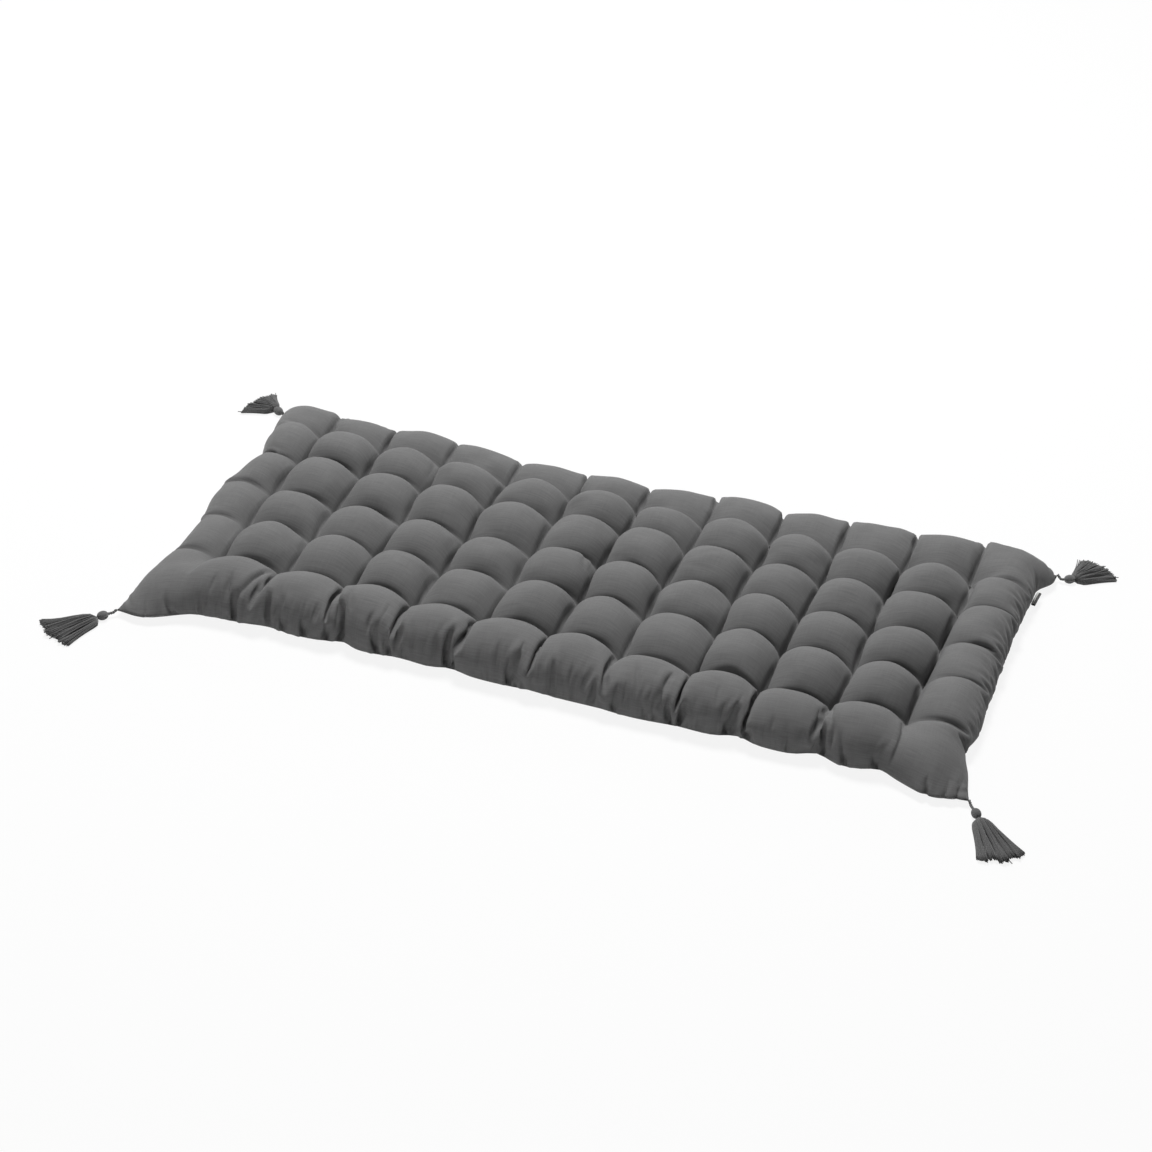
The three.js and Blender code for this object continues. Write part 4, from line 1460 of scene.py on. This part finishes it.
section = label_section()
section_way = np.gradient(section, axis=0)
section_way /= np.linalg.norm(section_way, axis=1, keepdims=True)
section_side = np.stack([section_way[:, 1], -section_way[:, 0]], 1) * LABEL_LEAF / 2
stations = np.linspace(-LABEL_LENGTH / 2, LABEL_LENGTH / 2, 15)
loop = np.concatenate([section + section_side, (section - section_side)[::-1]])
seam_x = float(seam_line("right", np.array([PUFFS_WIDE / 2 + LABEL_AT / PITCH]))[0])
label_points = []
label_flat = []
ways = np.concatenate([np.linspace(0, 1, len(section)), np.linspace(1, 0, len(section))])
for station in stations:
    for (out_by, rise_by), way in zip(loop, ways):
        curl = LABEL_CURL * math.sin(0.22 * station + 1.1)
        x = out_by * math.cos(LABEL_TURN) - station * math.sin(LABEL_TURN)
        y = out_by * math.sin(LABEL_TURN) + station * math.cos(LABEL_TURN)
        z = SEAM_HEIGHT + rise_by + curl * out_by / LABEL_REACH
        label_points.append((seam_x + LABEL_SEAM_GAP + GAP + x, LABEL_AT + y, z))
        label_flat.append((station * MM, way * 2 * LABEL_REACH * MM))
count = len(loop)
label_faces = faces_round(len(stations), count)[1]
bands_round = (np.maximum(ways, np.roll(ways, -1)) > WHITE_SHARE).astype(int).tolist()
label_bands = bands_round * (len(stations) - 1)
half = len(section)
for k in range(half - 1):
    near = (k, k + 1, count - 2 - k, count - 1 - k)
    label_faces.append(near[::-1])
    label_faces.append(tuple((len(stations) - 1) * count + point for point in near))
    label_bands.extend([int(ways[k + 1] > WHITE_SHARE)] * 2)
label_piece = new_piece("label", in_model(label_points), label_faces, smooth=False)
lay_out(label_piece.data, label_flat)
label_piece.data.polygons.foreach_set("material_index", label_bands)
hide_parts("side_label")

# %% [markdown]
# ## Shared effects
# Woven cloth, drifting colour and twisted yarn each show on more than one piece, so
# each is a node group: built once, and placed in every material with its own values.
# The coordinates are the flat ones of the cut cloth, in metres, so that a thread has
# its real width and follows the folds.

# %% Node groups
def new_group(name, inputs, outputs):
    group = bpy.data.node_groups.new(name, "ShaderNodeTree")
    for socket, kind, value in inputs:
        made = group.interface.new_socket(socket, in_out="INPUT", socket_type=kind)
        if value is not None:
            made.default_value = value
    for socket, kind in outputs:
        group.interface.new_socket(socket, in_out="OUTPUT", socket_type=kind)
    entry = group.nodes.new("NodeGroupInput")
    leave = group.nodes.new("NodeGroupOutput")
    return group, entry, leave


def math_node(tree, operation, *values):
    """A Math node, fed with sockets or plain numbers; returns its output."""
    made = add_node(tree, "ShaderNodeMath", operation=operation)
    for number, value in enumerate(values):
        if isinstance(value, (int, float)):
            made.inputs[number].default_value = value
        else:
            tree.links.new(value, made.inputs[number])
    return made.outputs[0]


def noise_node(tree, place, scale, detail, roughness=0.5):
    made = add_node(tree, "ShaderNodeTexNoise", Detail=detail, Roughness=roughness)
    tree.links.new(place, made.inputs["Vector"])
    if isinstance(scale, (int, float)):
        made.inputs["Scale"].default_value = scale
    else:
        tree.links.new(scale, made.inputs["Scale"])
    return made.outputs["Fac"]


SLUB_ALONG = 30
SLUB_ACROSS = 520
WARP_SHARE = 0.4

weave, entry, leave = new_group(
    "woven_cloth",
    [
        ("Place", "NodeSocketVector", None),
        ("Threads", "NodeSocketFloat", 1100.0),
        ("Slub", "NodeSocketFloat", 0.35),
    ],
    [("Height", "NodeSocketFloat"), ("Tone", "NodeSocketFloat")],
)
parts = add_node(weave, "ShaderNodeSeparateXYZ")
weave.links.new(entry.outputs["Place"], parts.inputs[0])
wander = noise_node(weave, entry.outputs["Place"], 60, 2)
wander = math_node(weave, "MULTIPLY", math_node(weave, "SUBTRACT", wander, 0.5), entry.outputs["Slub"])
crossing = []
for axis in ("X", "Y"):
    threads = math_node(weave, "MULTIPLY", parts.outputs[axis], entry.outputs["Threads"])
    threads = math_node(weave, "ADD", threads, math_node(weave, "MULTIPLY", wander, 6))
    crossing.append(math_node(weave, "SINE", math_node(weave, "MULTIPLY", threads, math.pi)))
over = math_node(weave, "MULTIPLY", crossing[0], crossing[1])
round_thread = math_node(weave, "POWER", math_node(weave, "ABSOLUTE", over), 0.5)
slubs = []
for stretch in ((SLUB_ACROSS, SLUB_ALONG, 1), (SLUB_ALONG, SLUB_ACROSS, 1)):
    drawn = add_node(weave, "ShaderNodeVectorMath", operation="MULTIPLY")
    drawn.inputs[1].default_value = stretch
    weave.links.new(entry.outputs["Place"], drawn.inputs[0])
    slubs.append(noise_node(weave, drawn.outputs[0], 1, 3, 0.6))
both_ways = math_node(weave, "MULTIPLY_ADD", slubs[0], WARP_SHARE, slubs[1])
slub = math_node(weave, "SUBTRACT", both_ways, (1 + WARP_SHARE) / 2)
slub = math_node(weave, "MULTIPLY", slub, entry.outputs["Slub"])
height = math_node(weave, "MULTIPLY_ADD", slub, 2, round_thread)
weave.links.new(height, leave.inputs["Height"])
tone = math_node(weave, "ADD", math_node(weave, "MULTIPLY_ADD", over, 0.15, 0.5), slub)
weave.links.new(tone, leave.inputs["Tone"])

drift, entry, leave = new_group(
    "colour_drift",
    [
        ("Place", "NodeSocketVector", None),
        ("Scale", "NodeSocketFloat", 8.0),
        ("Darkest", "NodeSocketFloat", 0.9),
        ("Lightest", "NodeSocketFloat", 1.1),
        ("Colour", "NodeSocketColor", (0.5, 0.5, 0.5, 1)),
    ],
    [("Colour", "NodeSocketColor")],
)
cloud = noise_node(drift, entry.outputs["Place"], entry.outputs["Scale"], 5, 0.6)
spread = math_node(drift, "SUBTRACT", entry.outputs["Lightest"], entry.outputs["Darkest"])
level_out = math_node(drift, "MULTIPLY_ADD", cloud, spread, entry.outputs["Darkest"])
scaled = add_node(drift, "ShaderNodeVectorMath", operation="SCALE")
drift.links.new(entry.outputs["Colour"], scaled.inputs[0])
drift.links.new(level_out, scaled.inputs["Scale"])
drift.links.new(scaled.outputs[0], leave.inputs["Colour"])

twist, entry, leave = new_group(
    "twisted_yarn",
    [
        ("Along yarn", "NodeSocketVector", None),
        ("Turns", "NodeSocketFloat", 220.0),
        ("Fibres", "NodeSocketFloat", 3.0),
    ],
    [("Height", "NodeSocketFloat"), ("Tone", "NodeSocketFloat")],
)
parts = add_node(twist, "ShaderNodeSeparateXYZ")
twist.links.new(entry.outputs["Along yarn"], parts.inputs[0])
lay = math_node(twist, "MULTIPLY", parts.outputs["X"], entry.outputs["Turns"])
lean = math_node(twist, "MULTIPLY", parts.outputs["Y"], entry.outputs["Fibres"])
lay = math_node(twist, "ADD", lay, lean)
strand_wave = math_node(twist, "SINE", math_node(twist, "MULTIPLY", lay, 2 * math.pi))
twist.links.new(math_node(twist, "MULTIPLY_ADD", strand_wave, 0.5, 0.5), leave.inputs["Height"])
fuzz = noise_node(twist, entry.outputs["Along yarn"], 900, 3)
twist.links.new(math_node(twist, "MULTIPLY_ADD", strand_wave, 0.2, fuzz), leave.inputs["Tone"])
print("node groups:", ", ".join(group.name for group in bpy.data.node_groups))

# %% [markdown]
# ## Cover cloth
# The cover is matte grey cotton in a plain weave. Its colour drifts a little, the
# threads give it a fine relief, and short fibres catch light at the edge of each
# puff, which the sheen of the shader stands for.

# %% Materials
def new_material(name, roughness, sheen):
    made = bpy.data.materials.new(name)
    made.use_nodes = True
    shader = made.node_tree.nodes["Principled BSDF"]
    shader.inputs["Roughness"].default_value = roughness
    shader.inputs["Specular IOR Level"].default_value = 0.25
    shader.inputs["Sheen Weight"].default_value = sheen
    shader.inputs["Sheen Roughness"].default_value = 0.5
    return made, made.node_tree, shader


def place_group(tree, group, place, **values):
    made = add_node(tree, "ShaderNodeGroup")
    made.node_tree = group
    tree.links.new(place, made.inputs[0])
    for name, value in values.items():
        made.inputs[name.replace("_", " ")].default_value = value
    return made


def bump(tree, height, strength, distance, shader):
    made = add_node(tree, "ShaderNodeBump", Strength=strength, Distance=distance)
    tree.links.new(height, made.inputs["Height"])
    tree.links.new(made.outputs[0], shader.inputs["Normal"])


def shade_by(tree, colour, tone, low, high, shader):
    """Multiplies a colour by a tone that runs from low to high."""
    scaled = add_node(tree, "ShaderNodeVectorMath", operation="SCALE")
    tree.links.new(colour, scaled.inputs[0])
    tree.links.new(math_node(tree, "MULTIPLY_ADD", tone, high - low, low), scaled.inputs["Scale"])
    tree.links.new(scaled.outputs[0], shader.inputs["Base Color"])


COVER_GREY = (0.152, 0.152, 0.152, 1)
YARN_GREY = (0.095, 0.095, 0.095, 1)
WRAP_GREY = (0.15, 0.15, 0.15, 1)
THREADS_A_METRE = 1900


def flat_map(tree, name):
    return add_node(tree, "ShaderNodeUVMap", uv_map=name).outputs[0]


cotton, tree, shader = new_material("cover_cotton", roughness=0.92, sheen=0.08)
place = flat_map(tree, "flat_cloth")
colour = place_group(tree, drift, place, Scale=9, Darkest=0.93, Lightest=1.07, Colour=COVER_GREY)
threads = place_group(tree, weave, place, Threads=THREADS_A_METRE, Slub=0.7)
shade_by(tree, colour.outputs[0], threads.outputs["Tone"], 0.6, 1.4, shader)
bump(tree, threads.outputs["Height"], 0.5, 0.0001, shader)
cover_piece.data.materials.append(cotton)


def yarn_material(name, colour_value, turns, fibres, roughness, tone_low, tone_high):
    made, tree, shader = new_material(name, roughness, sheen=0.3)
    place = flat_map(tree, "along_yarn")
    colour = place_group(tree, drift, place, Scale=35, Darkest=0.85, Lightest=1.15, Colour=colour_value)
    spun = place_group(tree, twist, place, Turns=turns, Fibres=fibres)
    shade_by(tree, colour.outputs[0], spun.outputs["Tone"], tone_low, tone_high, shader)
    bump(tree, spun.outputs["Height"], 0.6, 0.0002, shader)
    return made


skirt_yarn = yarn_material("skirt_yarn", YARN_GREY, 260, 1, 0.9, 0.85, 1.12)
wrap_yarn = yarn_material("wrap_yarn", WRAP_GREY, 300, 2, 0.88, 0.8, 1.15)
thread_yarn = yarn_material("tuft_thread", YARN_GREY, 400, 1, 0.85, 0.8, 1.2)
stitch_piece.data.materials.append(thread_yarn)
for corner in TASSELS:
    bpy.data.objects["cord_" + corner].data.materials.append(wrap_yarn)
    bpy.data.objects["ball_" + corner].data.materials.append(wrap_yarn)
    bpy.data.objects["skirt_" + corner].data.materials.append(skirt_yarn)

# %% [markdown]
# The label is a smoother, tighter tape, woven in two bands: white beside the seam, and
# dark grey from there on, round the bend and underneath.

# %% Label tape
TAPE_WHITE = (0.62, 0.62, 0.6, 1)
TAPE_GREY = (0.06, 0.06, 0.06, 1)


def tape_material(name, colour_value):
    made, tree, shader = new_material(name, roughness=0.7, sheen=0.1)
    place = flat_map(tree, "flat_cloth")
    colour = place_group(tree, drift, place, Scale=40, Darkest=0.95, Lightest=1.03, Colour=colour_value)
    threads = place_group(tree, weave, place, Threads=2600, Slub=0.1)
    shade_by(tree, colour.outputs[0], threads.outputs["Tone"], 0.94, 1.04, shader)
    bump(tree, threads.outputs["Height"], 0.4, 0.0001, shader)
    return made


white_tape = tape_material("label_tape_white", TAPE_WHITE)
grey_tape = tape_material("label_tape_grey", TAPE_GREY)
label_piece.data.materials.append(white_tape)
label_piece.data.materials.append(grey_tape)
print("materials:", ", ".join(made.name for made in bpy.data.materials))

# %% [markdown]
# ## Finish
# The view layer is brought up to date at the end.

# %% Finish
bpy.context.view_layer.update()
